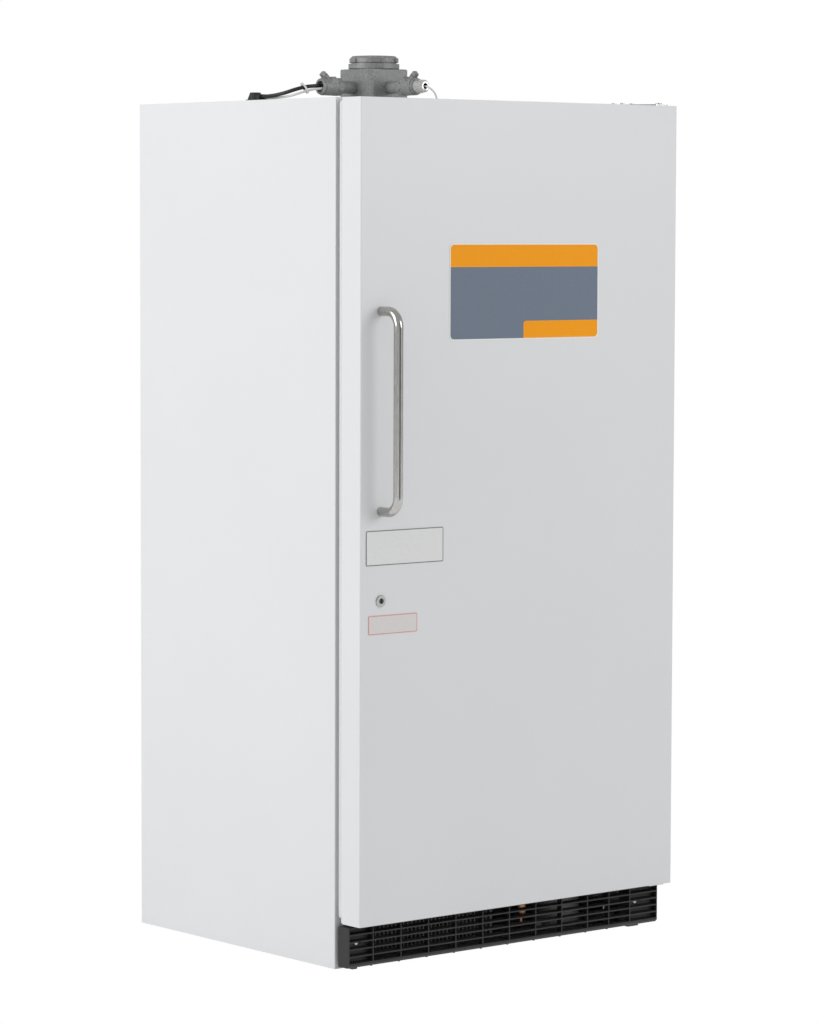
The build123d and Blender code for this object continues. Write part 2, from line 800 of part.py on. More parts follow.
# Handle: bent stainless tube with plugged, threaded ends
with BuildPart() as door_handle:
    with BuildLine() as handle_route:
        FilletPolyline(
            (handle_x, door_front, handle_bottom),
            (handle_x, handle_y, handle_bottom),
            (handle_x, handle_y, handle_top),
            (handle_x, door_front, handle_top),
            radius=handle_bend,
        )
    with BuildSketch(Plane(origin=(handle_x, door_front, handle_bottom), z_dir=(0, -1, 0))):
        Circle(handle_tube / 2)
    sweep(path=handle_route.wires()[0])
    handle_inside_start = door_front - handle_end_plug
    with BuildLine() as handle_inside:
        FilletPolyline(
            (handle_x, handle_inside_start, handle_bottom),
            (handle_x, handle_y, handle_bottom),
            (handle_x, handle_y, handle_top),
            (handle_x, handle_inside_start, handle_top),
            radius=handle_bend,
        )
    with BuildSketch(Plane(origin=(handle_x, handle_inside_start, handle_bottom), z_dir=(0, -1, 0))):
        Circle(handle_tube / 2 - handle_wall)
    sweep(path=handle_inside.wires()[0], mode=Mode.SUBTRACT)
    with BuildSketch(Plane.XZ.offset(-door_front)):
        with Locations(*handle_ends):
            Circle(handle_thread / 2 + slip)
    extrude(amount=handle_screw_reach + seat, mode=Mode.SUBTRACT)
write(door_handle, "door_handle")

# Handle screws: from inside the door panel into the handle's ends
with BuildPart() as handle_screws:
    with BuildSketch(Plane.XZ.offset(-door_front - door_sheet)):
        with Locations(*handle_ends):
            Circle(handle_screw_head / 2)
    extrude(amount=-handle_screw_head_height)
    with BuildSketch(Plane.XZ.offset(-door_front - door_sheet)):
        with Locations(*handle_ends):
            Circle(handle_thread / 2)
    extrude(amount=door_sheet + handle_screw_reach)
write(handle_screws, "handle_screws")

# Lock cylinder: bezel on the door's face and a barrel through the door
with BuildPart() as lock_cylinder:
    with BuildSketch(Plane.XZ.offset(-door_front)):
        with Locations((handle_x, lock_level)):
            Circle(lock_bezel / 2)
    extrude(amount=lock_bezel_height)
    chamfer(lock_cylinder.edges().sort_by(Axis.Y)[0], 1.0)
    with BuildSketch(Plane.XZ.offset(-door_front)):
        with Locations((handle_x, lock_level)):
            Circle(lock_barrel / 2)
    extrude(amount=door_front - lock_reach)
    with BuildSketch(Plane.XZ.offset(-door_front + lock_bezel_height)):
        with Locations((handle_x, lock_level)):
            Circle(lock_bore / 2 + slip)
    extrude(amount=door_front - lock_bezel_height - lock_reach, mode=Mode.SUBTRACT)
write(lock_cylinder, "lock_cylinder")

# Key plug with its keyway, and a tail that drives the cam
cam_gap = 1.5
cam_thickness = 2.5
tail_diameter = 8.0
keyway_width = 2.2
keyway_height = 8.0
keyway_depth = 6.0
cam_front = lock_reach + cam_gap
with BuildPart() as lock_plug:
    with BuildSketch(Plane.XZ.offset(-door_front + lock_bezel_height)):
        with Locations((handle_x, lock_level)):
            Circle(lock_bore / 2)
    extrude(amount=door_front - lock_bezel_height - lock_reach)
    with BuildSketch(Plane.XZ.offset(-lock_reach)):
        with Locations((handle_x, lock_level)):
            Circle(tail_diameter / 2)
            Rectangle(tail_diameter, tail_diameter * 0.7, mode=Mode.INTERSECT)
    extrude(amount=-(cam_gap + cam_thickness + 1.5))
    with BuildSketch(Plane.XZ.offset(-door_front + lock_bezel_height)):
        with Locations((handle_x, lock_level)):
            Rectangle(keyway_width, keyway_height)
    extrude(amount=-keyway_depth, mode=Mode.SUBTRACT)
write(lock_plug, "lock_plug")

# Lock cam: a flat finger that turns up behind the strike
cam_width = 11.0
cam_length = 17.0
with BuildPart() as lock_cam:
    with BuildSketch(Plane.XZ.offset(-cam_front)):
        with Locations((handle_x, lock_level)):
            Circle(cam_width / 2)
            Rectangle(cam_length - 3.0, cam_width - 2.0, align=(Align.MIN, Align.CENTER))
        with Locations((handle_x + cam_length - 4.5, lock_level)):
            Circle((cam_width - 2.0) / 2)
        with BuildSketch(mode=Mode.PRIVATE) as tail_hole:
            Circle(tail_diameter / 2 + slip)
            Rectangle(tail_diameter + 1.0, tail_diameter * 0.7 + 2 * slip, mode=Mode.INTERSECT)
        with Locations((handle_x, lock_level)):
            add(tail_hole.sketch, mode=Mode.SUBTRACT)
    extrude(amount=-cam_thickness)
write(lock_cam, "lock_cam")

# Lock strike: folded plate on the cabinet's flange, its lip in front of the raised cam
strike_left = handle_x - 9.0
strike_width = 18.0
strike_sheet = 2.0
strike_low = lock_level + 12.0
strike_arm = lock_level + 20.0
strike_high = lock_level + 50.0
strike_lip = front - 14.0
with BuildPart() as lock_strike:
    with BuildSketch(Plane.YZ.offset(strike_left)):
        with BuildLine():
            Polyline(
                (front, strike_arm),
                (front, strike_high),
                (front - strike_sheet, strike_high),
                (front - strike_sheet, strike_arm + strike_sheet),
                (strike_lip, strike_arm + strike_sheet),
                (strike_lip, strike_low),
                (strike_lip + strike_sheet, strike_low),
                (strike_lip + strike_sheet, strike_arm),
                close=True,
            )
        make_face()
    extrude(amount=strike_width)
write(lock_strike, "lock_strike")

# Hinge parts: nylon bushes in the door, plates on the cabinet, steel pins between them
top_plate = 2.5
top_plate_front = front - 62.0
top_plate_rear = front + 60.0
bottom_plate = 4.0
bottom_plate_top = door_bottom - thrust_height - 0.2
bracket_left = half_width - 48.0
bracket_right = half_width - 4.0
bolt_head = 10.0
bolt_head_height = 4.0
bush_levels = [
    (door_bottom, bush_length, bush_diameter),
    (door_bottom - thrust_height, thrust_height, thrust_diameter),
    (door_top - bush_length, bush_length, bush_diameter),
]
with BuildPart() as hinge_bushes:
    for bush_level, length, diameter in bush_levels:
        with BuildSketch(Plane.XY.offset(bush_level)):
            with Locations((pin_x, pin_y)):
                Circle(diameter / 2)
                Circle(pin_diameter / 2 + slip, mode=Mode.SUBTRACT)
        extrude(amount=length)
write(hinge_bushes, "hinge_bushes")

with BuildPart() as top_hinge_plate:
    with BuildSketch(Plane.XY.offset(top)):
        with BuildLine():
            Polyline(
                (hinge_left, top_plate_rear),
                (hinge_left, front - 18.0),
                (pin_x - 22.0, top_plate_front),
                (hinge_right, top_plate_front),
                (hinge_right, top_plate_rear),
                close=True,
            )
        make_face()
        fillet(vertices(), 5.0)
        with Locations((pin_x, pin_y)):
            Circle(pin_diameter / 2, mode=Mode.SUBTRACT)
        with Locations(*top_bolts):
            Circle(bolt_shank / 2 + slip, mode=Mode.SUBTRACT)
    extrude(amount=top_plate)
write(top_hinge_plate, "top_hinge_plate")

with BuildPart() as bottom_hinge_bracket:
    with BuildSketch(Plane.YZ.offset(bracket_left)):
        with BuildLine():
            Polyline(
                (top_plate_front, bottom_plate_top),
                (front, bottom_plate_top),
                (front, bottom_leg_low),
                (front - bottom_plate, bottom_leg_low),
                (front - bottom_plate, bottom_plate_top - bottom_plate),
                (top_plate_front, bottom_plate_top - bottom_plate),
                close=True,
            )
        make_face()
    extrude(amount=bracket_right - bracket_left)
    with Locations((pin_x, pin_y, bottom_plate_top)):
        Hole(pin_diameter / 2, depth=2 * bottom_plate)
    with BuildSketch(Plane.XZ.offset(-front)):
        with Locations(*bottom_bolts):
            Circle(bolt_shank / 2 + slip)
    extrude(amount=bottom_plate, mode=Mode.SUBTRACT)
write(bottom_hinge_bracket, "bottom_hinge_bracket")

pin_head = 14.0
pin_head_height = 3.0
with BuildPart() as hinge_pins:
    with BuildSketch(Plane.XY.offset(bottom_plate_top - bottom_plate)):
        with Locations((pin_x, pin_y)):
            Circle(pin_diameter / 2)
    extrude(amount=door_bottom + pin_engagement - 1.0 - bottom_plate_top + bottom_plate)
    with BuildSketch(Plane.XY.offset(door_top - pin_engagement + 1.0)):
        with Locations((pin_x, pin_y)):
            Circle(pin_diameter / 2)
    extrude(amount=pin_engagement - 1.0 + door_drop + top_plate)
    with BuildSketch(Plane.XY.offset(top + top_plate)):
        with Locations((pin_x, pin_y)):
            Circle(pin_head / 2)
    extrude(amount=pin_head_height)
    fillet(hinge_pins.edges().sort_by(Axis.Z)[-1], 1.0)
write(hinge_pins, "hinge_pins")

# Junction box on the roof: square cast body with a round neck, a deep bore and two mounting tabs
box_height = 68.5
box_bevel = 9.0
box_bore = 84.0
box_floor = 8.0
neck_diameter = 98.0
neck_height = 1.5
tab_width = 22.0
tab_height = 6.0
nipple_diameter = 26.7
nipple_bore = 20.9
nipple_visible = 40.0
nipple_seat = 12.0
box_left = box_x - box_side / 2
box_front = box_y - box_side / 2
left_axis = Plane(origin=(box_left, box_y, top + fitting_height), x_dir=(0, -1, 0), z_dir=(-1, 0, 0))
front_axis = Plane(origin=(box_x, box_front, top + fitting_height), x_dir=(1, 0, 0), z_dir=(0, -1, 0))
with BuildPart() as junction_box:
    with BuildSketch(Plane.XY.offset(top)):
        with Locations((box_x, box_y)):
            Rectangle(box_side, box_side)
            chamfer(vertices(), box_bevel)
    extrude(amount=box_height)
    top_rim = junction_box.faces().sort_by(Axis.Z)[-1].edges()
    chamfer(top_rim, 2.0)
    with BuildSketch(Plane.XY.offset(top)):
        with Locations(box_bolts[0]):
            SlotOverall(2 * tab_reach, tab_width)
        with Locations(box_bolts[1]):
            SlotOverall(2 * tab_reach, tab_width, rotation=90)
        with Locations((box_x, box_y)):
            Rectangle(box_side - 1.0, box_side - 1.0, mode=Mode.SUBTRACT)
    extrude(amount=tab_height)
    with BuildSketch(Plane.XY.offset(top + box_height)):
        with Locations((box_x, box_y)):
            Circle(neck_diameter / 2)
    extrude(amount=neck_height)
    with BuildSketch(Plane.XY.offset(top + box_floor)):
        with Locations((box_x, box_y)):
            Circle(box_bore / 2)
    extrude(amount=box_height, mode=Mode.SUBTRACT)
    for face_axis in (left_axis, front_axis):
        with BuildSketch(face_axis.offset(-nipple_seat)):
            Circle(nipple_diameter / 2 + slip)
        extrude(amount=nipple_seat, mode=Mode.SUBTRACT)
        with BuildSketch(face_axis.offset(-nipple_seat)):
            Circle(nipple_bore / 2)
        extrude(amount=-box_side / 4, mode=Mode.SUBTRACT)
    with BuildSketch(Plane.XY.offset(top)):
        with Locations(*box_bolts):
            Circle(bolt_shank / 2 + slip)
    extrude(amount=tab_height, mode=Mode.SUBTRACT)
write(junction_box, "junction_box")

# Box lid: round cover with a plug into the bore, a groove round its rim and six lugs for a bar
lid_diameter = 108.0
lid_low = top + box_height + neck_height
lid_height = 26.5
lid_step = 13.0
lid_groove = 3.0
lid_upper = 102.0
lid_bevel = 5.0
lid_plug_depth = 14.0
lug_count = 6
lug_phase = -122.5
lug_width = 13.0
lug_depth = 9.0
lug_height = 9.0
with BuildPart() as junction_box_lid:
    with BuildSketch(Plane.XZ.offset(-box_y)):
        with BuildLine():
            Polyline(
                (box_x, lid_low - lid_plug_depth),
                (box_x + box_bore / 2 - slip, lid_low - lid_plug_depth),
                (box_x + box_bore / 2 - slip, lid_low),
                (box_x + lid_diameter / 2, lid_low),
                (box_x + lid_diameter / 2, lid_low + lid_step - lid_groove),
                (box_x + lid_upper / 2 - lid_groove, lid_low + lid_step - lid_groove),
                (box_x + lid_upper / 2 - lid_groove, lid_low + lid_step),
                (box_x + lid_upper / 2, lid_low + lid_step),
                (box_x + lid_upper / 2, lid_low + lid_height - lid_bevel),
                (box_x + lid_upper / 2 - lid_bevel, lid_low + lid_height),
                (box_x, lid_low + lid_height),
                close=True,
            )
        make_face()
    revolve(axis=Axis((box_x, box_y, 0), (0, 0, 1)))
    with BuildSketch(Plane.XY.offset(lid_low + lid_step)):
        with Locations((box_x, box_y)):
            with PolarLocations(lid_upper / 2 - lug_depth / 2 + 3.0, lug_count, lug_phase):
                Rectangle(lug_depth, lug_width)
    extrude(amount=lug_height)
write(junction_box_lid, "junction_box_lid")

# Conduit nipples: short pipes between the box and the seal fittings
with BuildPart() as conduit_nipples:
    for face_axis in (left_axis, front_axis):
        with BuildSketch(face_axis.offset(-nipple_seat)):
            Circle(nipple_diameter / 2)
            Circle(nipple_bore / 2, mode=Mode.SUBTRACT)
        extrude(amount=2 * nipple_seat + nipple_visible)
write(conduit_nipples, "conduit_nipples")

# Seal fittings: cast conduit bodies with a collar, a slanted filling mouth and a hub
seal_start = nipple_visible
seal_end = 91.0
collar_length = 12.0
collar_radius = 20.0
seal_radius = 18.5
hub_length = 6.0
hub_radius = 17.0
hub_bore = 24.0
hub_bore_depth = 10.0
mouth_half = 17.0
mouth_foot = 45.0
mouth_apex = 62.0
mouth_height = 21.0
mouth_end = 83.0
spout_along = 72.0
spout_height = 15.0
spout_diameter = 16.0
spout_length = 11.0
plug_thread = 10.0
plug_square = 10.5
plug_square_height = 8.0


def spout_plane(face_axis):
    """Plane across the filling mouth, leaning outwards by 45 degrees."""
    origin = face_axis.from_local_coords(Vector(0, spout_height, spout_along))
    return Plane(origin=origin, x_dir=face_axis.x_dir, z_dir=face_axis.z_dir + face_axis.y_dir)


def seal_body(face_axis):
    """One seal fitting along the axis that leaves the box at face_axis."""
    with BuildPart() as body:
        with BuildSketch(face_axis.offset(seal_start)):
            RegularPolygon(collar_radius, 8, rotation=22.5)
        extrude(amount=collar_length)
        with BuildSketch(face_axis.offset(seal_start + collar_length)):
            Circle(seal_radius)
        extrude(amount=seal_end - hub_length - seal_start - collar_length)
        with BuildSketch(face_axis.offset(seal_end - hub_length)):
            Circle(hub_radius)
        extrude(amount=hub_length)
        outward = Axis(face_axis.origin, face_axis.z_dir)
        chamfer(body.edges().filter_by(GeomType.CIRCLE).sort_by(outward)[-1], 1.0)
        side_plane = Plane(
            origin=face_axis.from_local_coords(Vector(-mouth_half, 0, 0)),
            x_dir=face_axis.z_dir,
            z_dir=face_axis.x_dir,
        )
        up = 1 if side_plane.y_dir.Z > 0 else -1
        with BuildSketch(side_plane):
            with BuildLine():
                Polyline(
                    (mouth_foot, 0),
                    (mouth_apex, up * mouth_height),
                    (mouth_end, 0),
                    close=True,
                )
            make_face()
        extrude(amount=2 * mouth_half)
        mouth = spout_plane(face_axis)
        with BuildSketch(mouth):
            Circle(spout_diameter / 2)
        extrude(amount=spout_length)
        with BuildSketch(mouth.offset(spout_length)):
            Circle(plug_thread / 2 + slip)
        extrude(amount=-spout_length, mode=Mode.SUBTRACT)
        with BuildSketch(face_axis.offset(seal_start)):
            Circle(nipple_diameter / 2 + slip)
        extrude(amount=nipple_seat, mode=Mode.SUBTRACT)
        with BuildSketch(face_axis.offset(seal_end)):
            Circle(hub_bore / 2)
        extrude(amount=-hub_bore_depth, mode=Mode.SUBTRACT)
    return body.part


with BuildPart() as seal_fitting_left:
    add(seal_body(left_axis))
write(seal_fitting_left, "seal_fitting_left")

with BuildPart() as seal_fitting_front:
    add(seal_body(front_axis))
write(seal_fitting_front, "seal_fitting_front")

# Seal plugs: square heads on the filling mouths
with BuildPart() as seal_plugs:
    for face_axis in (left_axis, front_axis):
        mouth = spout_plane(face_axis)
        with BuildSketch(mouth.offset(spout_length)):
            Circle(plug_thread / 2)
        extrude(amount=-spout_length)
        with BuildSketch(mouth.offset(spout_length)):
            Rectangle(plug_square, plug_square)
        extrude(amount=plug_square_height)
write(seal_plugs, "seal_plugs")

# Cable gland in the front hub: threaded root, ribbed body and domed nut with a bore for the lead
gland_start = 90.0
gland_end = 117.0
gland_root = hub_bore - 0.2
gland_diameter = 28.6
gland_collar = 3.0
gland_ribs = 18
gland_rib = 1.0
gland_bore = 12.0
gland_seat = 5.0
lead_diameter = 4.0
with BuildPart() as cable_gland:
    with BuildSketch(front_axis.offset(seal_end - hub_bore_depth)):
        Circle(gland_root / 2)
    extrude(amount=hub_bore_depth)
    with BuildSketch(front_axis.offset(seal_end)):
        Circle(gland_diameter / 2)
    extrude(amount=gland_collar)
    with BuildSketch(front_axis.offset(seal_end + gland_collar)):
        Circle(gland_diameter / 2 - gland_rib)
    extrude(amount=gland_end - seal_end - gland_collar)
    chamfer(cable_gland.edges().filter_by(GeomType.CIRCLE).sort_by(Axis.Y)[0], 4.0)
    with BuildSketch(front_axis.offset(seal_end + gland_collar)):
        with PolarLocations(gland_diameter / 2 - gland_rib, gland_ribs):
            Rectangle(2 * gland_rib, 2 * gland_rib)
    extrude(amount=gland_end - seal_end - gland_collar - gland_seat - 4.0)
    with BuildSketch(front_axis.offset(gland_end)):
        Circle(gland_bore / 2)
    extrude(amount=-gland_seat, mode=Mode.SUBTRACT)
    with BuildSketch(front_axis.offset(gland_end)):
        Circle(lead_diameter / 2 + slip)
    extrude(amount=-2 * gland_seat, mode=Mode.SUBTRACT)
write(cable_gland, "cable_gland")


def cord_tube(points, diameter, name):
    """A cord's tube through its points, each arc as large as its two runs allow."""
    route = [Vector(*point) for point in points]
    radii = []
    for before, corner, after in zip(route, route[1:], route[2:]):
        turn = (corner - before).get_angle(after - corner)
        shorter = min((corner - before).length, (after - corner).length)
        radii.append(0.45 * shorter / tan(radians(turn) / 2))
    with BuildPart() as tube:
        with BuildLine() as line:
            FilletPolyline(*route, radius=radii)
        path = line.wires()[0]
        with BuildSketch(Plane(origin=route[0], z_dir=route[1] - route[0])):
            Circle(diameter / 2)
        sweep(path=path)
    section = diameter**2 * 3.14159 / 4
    print(name, "radii", [round(radius, 1) for radius in radii], "length", round(path.length, 1))
    print(name, "volume over section times length", round(tube.part.volume / (section * path.length), 4))
    return tube, path


# Cords on the roof, each held at both ends
black_diameter = 8.0
white_diameter = 5.0
fitting_level = top + fitting_height
seal_face = box_left - seal_end
black_route = [
    (-310.5, box_y + 2.0, top + 31.5),
    (-341.0, box_y + 3.0, top + 30.5),
    (-368.0, box_y + 13.5, top + 24.5),
    (-386.0, box_y + 36.0, top + 15.0),
    (-394.0, box_y + 64.0, top + 10.0),
    (-395.5, box_y + 93.0, top + 9.0),
    (-395.0, box_y + 116.0, top + 8.6),
]
white_route = [
    (-310.5, box_y - 6.5, top + 26.0),
    (-338.0, box_y - 5.5, top + 24.0),
    (-362.0, box_y + 3.0, top + 17.5),
    (-377.5, box_y + 25.0, top + 9.0),
    (-384.5, box_y + 52.0, top + 6.0),
    (-386.0, box_y + 81.0, top + 5.4),
    (-385.5, box_y + 112.0, top + 5.2),
]
lead_route = [
    (box_x, box_front - gland_end + 2 * gland_seat, fitting_level),
    (box_x, box_front - gland_end - 3.0, fitting_level),
    (box_x + 6.0, box_front - gland_end - 12.0, fitting_level - 6.5),
    (box_x + 15.0, box_front - gland_end - 13.5, fitting_level - 15.0),
    (lead_x, lead_y, top + 2.0),
    (lead_x + 0.5, lead_y + 0.5, top - 10.0),
]
power_cable_black, black_path = cord_tube(black_route, black_diameter, "power_cable_black")
write(power_cable_black, "power_cable_black")
power_cable_white, white_path = cord_tube(white_route, white_diameter, "power_cable_white")
write(power_cable_white, "power_cable_white")
sensor_lead, lead_path = cord_tube(lead_route, lead_diameter, "sensor_lead")
write(sensor_lead, "sensor_lead")

# Cable tie round both cables, drawn tight where they run side by side
tie_width = 4.0
tie_wall = 1.2
tie_gap = 0.5
tie_head = 6.0
tie_place = 0.27
tie_black = black_path.position_at(tie_place)
tie_white = white_path.position_at(tie_place)
tie_across = tie_black - tie_white
tie_normal = tie_across.cross(black_path.tangent_at(tie_place).cross(tie_across))
tie_plane = Plane(origin=(tie_black + tie_white) * 0.5, x_dir=tie_across, z_dir=tie_normal)
with BuildPart() as cable_tie:
    with BuildSketch(tie_plane.offset(-tie_width / 2)):
        SlotCenterToCenter(tie_across.length, black_diameter + 2 * (tie_wall + tie_gap))
        SlotCenterToCenter(tie_across.length, black_diameter + 2 * tie_gap, mode=Mode.SUBTRACT)
    extrude(amount=tie_width)
    with BuildSketch(tie_plane.offset(-tie_width / 2 - 0.5)):
        with Locations((tie_across.length / 2 + black_diameter / 2 + tie_gap + tie_wall / 2, 0)):
            Rectangle(tie_head, tie_head, align=(Align.MIN, Align.CENTER))
    extrude(amount=tie_width + 1.0)
write(cable_tie, "cable_tie")

# Roof grommets: a hooded one for the two cables and a small one for the lead
hood_radius = 17.0
hood_flange = 21.0
hood_flange_height = 2.5
hood_neck = 14.0
hood_top = 18.0
hood_reach = 24.0
grommet_sheet = 1.5
with BuildPart() as roof_grommets:
    with BuildSketch(Plane.XY.offset(top)):
        with Locations((boot_x, boot_y)):
            Circle(hood_flange)
    extrude(amount=hood_flange_height)
    with BuildSketch(Plane.XY.offset(top + hood_flange_height)):
        with Locations((boot_x, boot_y)):
            Circle(hood_radius)
    with BuildSketch(Plane.XY.offset(top + hood_top)):
        with Locations((boot_x, boot_y)):
            Circle(hood_radius - 6.0)
    loft()
    with BuildSketch(Plane.XZ.offset(-boot_y + hood_reach)):
        with Locations((boot_x + 4.5, top)):
            Rectangle(26.0, hood_neck, align=(Align.CENTER, Align.MIN))
            fillet(vertices().group_by(Axis.Y)[-1], 6.0)
    extrude(amount=-hood_reach)
    with BuildSketch(Plane.XY.offset(top)):
        with Locations((boot_x, boot_y)):
            Circle(boot_hole / 2 - slip)
    extrude(amount=-sheet - 2.0)
    # Bores for the two cables
    black_end = Vector(*black_route[-1])
    black_mouth = Plane(origin=black_end, z_dir=Vector(*black_route[-2]) - black_end)
    with BuildSketch(black_mouth):
        Circle(black_diameter / 2 + slip)
    extrude(amount=hood_reach, mode=Mode.SUBTRACT)
    white_end = Vector(*white_route[-1])
    white_mouth = Plane(origin=white_end, z_dir=Vector(*white_route[-2]) - white_end)
    with BuildSketch(white_mouth):
        Circle(white_diameter / 2 + slip)
    extrude(amount=hood_reach, mode=Mode.SUBTRACT)
    # Small grommet
    with BuildSketch(Plane.XY.offset(top)):
        with Locations((lead_x, lead_y)):
            Circle(lead_hole / 2 + 2.0)
    extrude(amount=grommet_sheet)
    with BuildSketch(Plane.XY.offset(top)):
        with Locations((lead_x, lead_y)):
            Circle(lead_hole / 2 - slip)
    extrude(amount=-sheet - grommet_sheet)
    with BuildSketch(Plane.XY.offset(top + grommet_sheet)):
        with Locations((lead_x + 0.2, lead_y + 0.2)):
            Circle(lead_diameter / 2 + 0.95)
    extrude(amount=-2 * grommet_sheet - 4 * sheet, mode=Mode.SUBTRACT)
write(roof_grommets, "roof_grommets")

# Compressor: welded steel shell on a foot plate, with a terminal box and two tube stubs
shell_radius = 78.0
shell_top = pan_top + 205.0
shell_low = pan_top + mount_height + 3.0
seam_height = pan_top + 110.0
foot_plate = 3.0
dome_radius = 46.0
stub_radius = 5.5
stub_top = shell_top + 6.0
stub_length = 56.0
suction_x = compressor_x + 60.0
suction_z = seam_height + 30.0
discharge_z = seam_height + 40.0
with BuildPart() as compressor:
    with BuildSketch(Plane.XZ.offset(-compressor_y)):
        with BuildLine():
            Polyline(
                (compressor_x, shell_low),
                (compressor_x + shell_radius - 20, shell_low),
                (compressor_x + shell_radius, shell_low + 22),
                (compressor_x + shell_radius, seam_height - 3),
                (compressor_x + shell_radius + 4, seam_height - 3),
                (compressor_x + shell_radius + 4, seam_height + 3),
                (compressor_x + shell_radius - 2, seam_height + 3),
                (compressor_x + shell_radius - 2, shell_top),
                (compressor_x, shell_top),
                close=True,
            )
        make_face()
        fillet(vertices().group_by(Axis.Y)[-1].sort_by(Axis.X)[-1], dome_radius)
    revolve(axis=Axis((compressor_x, compressor_y, 0), (0, 0, 1)))
    with BuildSketch(Plane.XY.offset(pan_top + mount_height)):
        with Locations((compressor_x, compressor_y)):
            RectangleRounded(2 * mount_half_x + 26, 2 * mount_half_y + 26, 12)
        with Locations(*mount_places):
            Circle(mount_stud / 2 + 0.5, mode=Mode.SUBTRACT)
    extrude(amount=foot_plate)
    # Terminal box on the right
    with BuildSketch(Plane.YZ.offset(compressor_x + shell_radius - 12)):
        with Locations((compressor_y - 20, seam_height - 45)):
            RectangleRounded(52, 66, 4)
    extrude(amount=34)
    with BuildSketch(Plane.XY.offset(stub_top - stub_length)):
        with Locations((suction_x, compressor_y)):
            Circle(stub_radius + 1.5)
    extrude(amount=stub_length)
    with BuildSketch(Plane.XZ.offset(-compressor_y + shell_radius - 12)):
        with Locations((compressor_x - 20, discharge_z)):
            Circle(stub_radius)
    extrude(amount=20)
write(compressor, "compressor")

with BuildPart() as compressor_mounts:
    with BuildSketch(Plane.XY.offset(pan_top)):
        with Locations(*mount_places):
            Circle(12)
        with Locations(*mount_places):
            Circle(mount_stud / 2 + slip, mode=Mode.SUBTRACT)
    extrude(amount=mount_height)
write(compressor_mounts, "compressor_mounts")

# Condenser: rows of fins on a spine, crossed by the serpentine tube
condenser_left = -345.0
condenser_width = 396.0
condenser_front = front + 70.0
condenser_depth = 60.0
condenser_height = 92.0
fin_pitch = 11.0
fin_gap = 8.6
fin_spine = 14.0
tube_rows = 4
tube_outer = 8.0
tube_y = condenser_front + condenser_depth / 3
with BuildPart() as condenser:
    with BuildSketch(Plane.XY.offset(pan_top)):
        with Locations((condenser_left, condenser_front)):
            Rectangle(condenser_width, condenser_depth, align=(Align.MIN, Align.MIN))
    extrude(amount=condenser_height)
    fin_count = int(condenser_width / fin_pitch) - 1
    with BuildSketch(Plane.XY.offset(pan_top + condenser_height)):
        with Locations((condenser_left + condenser_width / 2, condenser_front)):
            with GridLocations(fin_pitch, 0, fin_count, 1):
                Rectangle(fin_gap, 2 * (condenser_depth - fin_spine))
    extrude(amount=-condenser_height, mode=Mode.SUBTRACT)
    for row in range(tube_rows):
        row_z = pan_top + condenser_height * (row + 0.5) / tube_rows
        with BuildSketch(Plane.YZ.offset(condenser_left)):
            with Locations((tube_y, row_z)):
                Circle(tube_outer / 2)
        extrude(amount=condenser_width)
write(condenser, "condenser")

# Fan: motor on a three-armed bracket behind a plate with a flanged opening
fan_x = -160.0
fan_z = base + 165.0
fan_radius = 100.0
fan_running_gap = 5.0
shroud_y = rear - 190.0
shroud_sheet = 1.5
shroud_left = -412.0
shroud_right = 84.0
shroud_top = deck_high - sheet - 1.0
flange_depth = 14.0
arm_width = 14.0
arm_reach = 26.0
arm_thickness = 3.0
motor_radius = 36.0
motor_length = 62.0
shaft_diameter = 8.0
motor_y = shroud_y + arm_reach
fan_axis = Plane(origin=(fan_x, shroud_y, fan_z), x_dir=(1, 0, 0), z_dir=(0, 1, 0))
arm_inner = motor_radius - 10.0
arm_outer = fan_radius + fan_running_gap + 12.0
with BuildPart() as fan_shroud:
    with BuildSketch(Plane.XZ.offset(-shroud_y)):
        with Locations((shroud_left, pan_top)):
            Rectangle(
                shroud_right - shroud_left, shroud_top - pan_top, align=(Align.MIN, Align.MIN)
            )
        with Locations((fan_x, fan_z)):
            Circle(fan_radius + fan_running_gap, mode=Mode.SUBTRACT)
    extrude(amount=-shroud_sheet)
    with BuildSketch(fan_axis):
        Circle(fan_radius + fan_running_gap + shroud_sheet)
        Circle(fan_radius + fan_running_gap, mode=Mode.SUBTRACT)
    extrude(amount=-flange_depth)
    # Foot along the base pan
    with BuildSketch(Plane.XY.offset(pan_top)):
        with Locations((shroud_left, shroud_y)):
            Rectangle(shroud_right - shroud_left, 20, align=(Align.MIN, Align.MIN))
    extrude(amount=shroud_sheet)
    # Arms stand off the plate and carry the motor ring
    with BuildSketch(fan_axis):
        with PolarLocations(arm_outer, 3, 90):
            Rectangle(arm_thickness, arm_width)
    extrude(amount=arm_reach)
    with BuildSketch(fan_axis.offset(arm_reach - arm_thickness)):
        with PolarLocations((arm_outer + arm_inner) / 2, 3, 90):
            Rectangle(arm_outer - arm_inner + arm_thickness, arm_width)
        Circle(motor_radius - 2.0)
        Circle(shaft_diameter, mode=Mode.SUBTRACT)
    extrude(amount=arm_thickness)
write(fan_shroud, "fan_shroud")

with BuildPart() as fan_motor:
    with BuildSketch(fan_axis.offset(arm_reach)):
        Circle(motor_radius)
    extrude(amount=motor_length)
    fillet(fan_motor.edges().filter_by(GeomType.CIRCLE).sort_by(Axis.Y)[-1], 8.0)
    with BuildSketch(fan_axis.offset(arm_reach)):
        Circle(shaft_diameter / 2)
    extrude(amount=-arm_reach - 8.0)
write(fan_motor, "fan_motor")

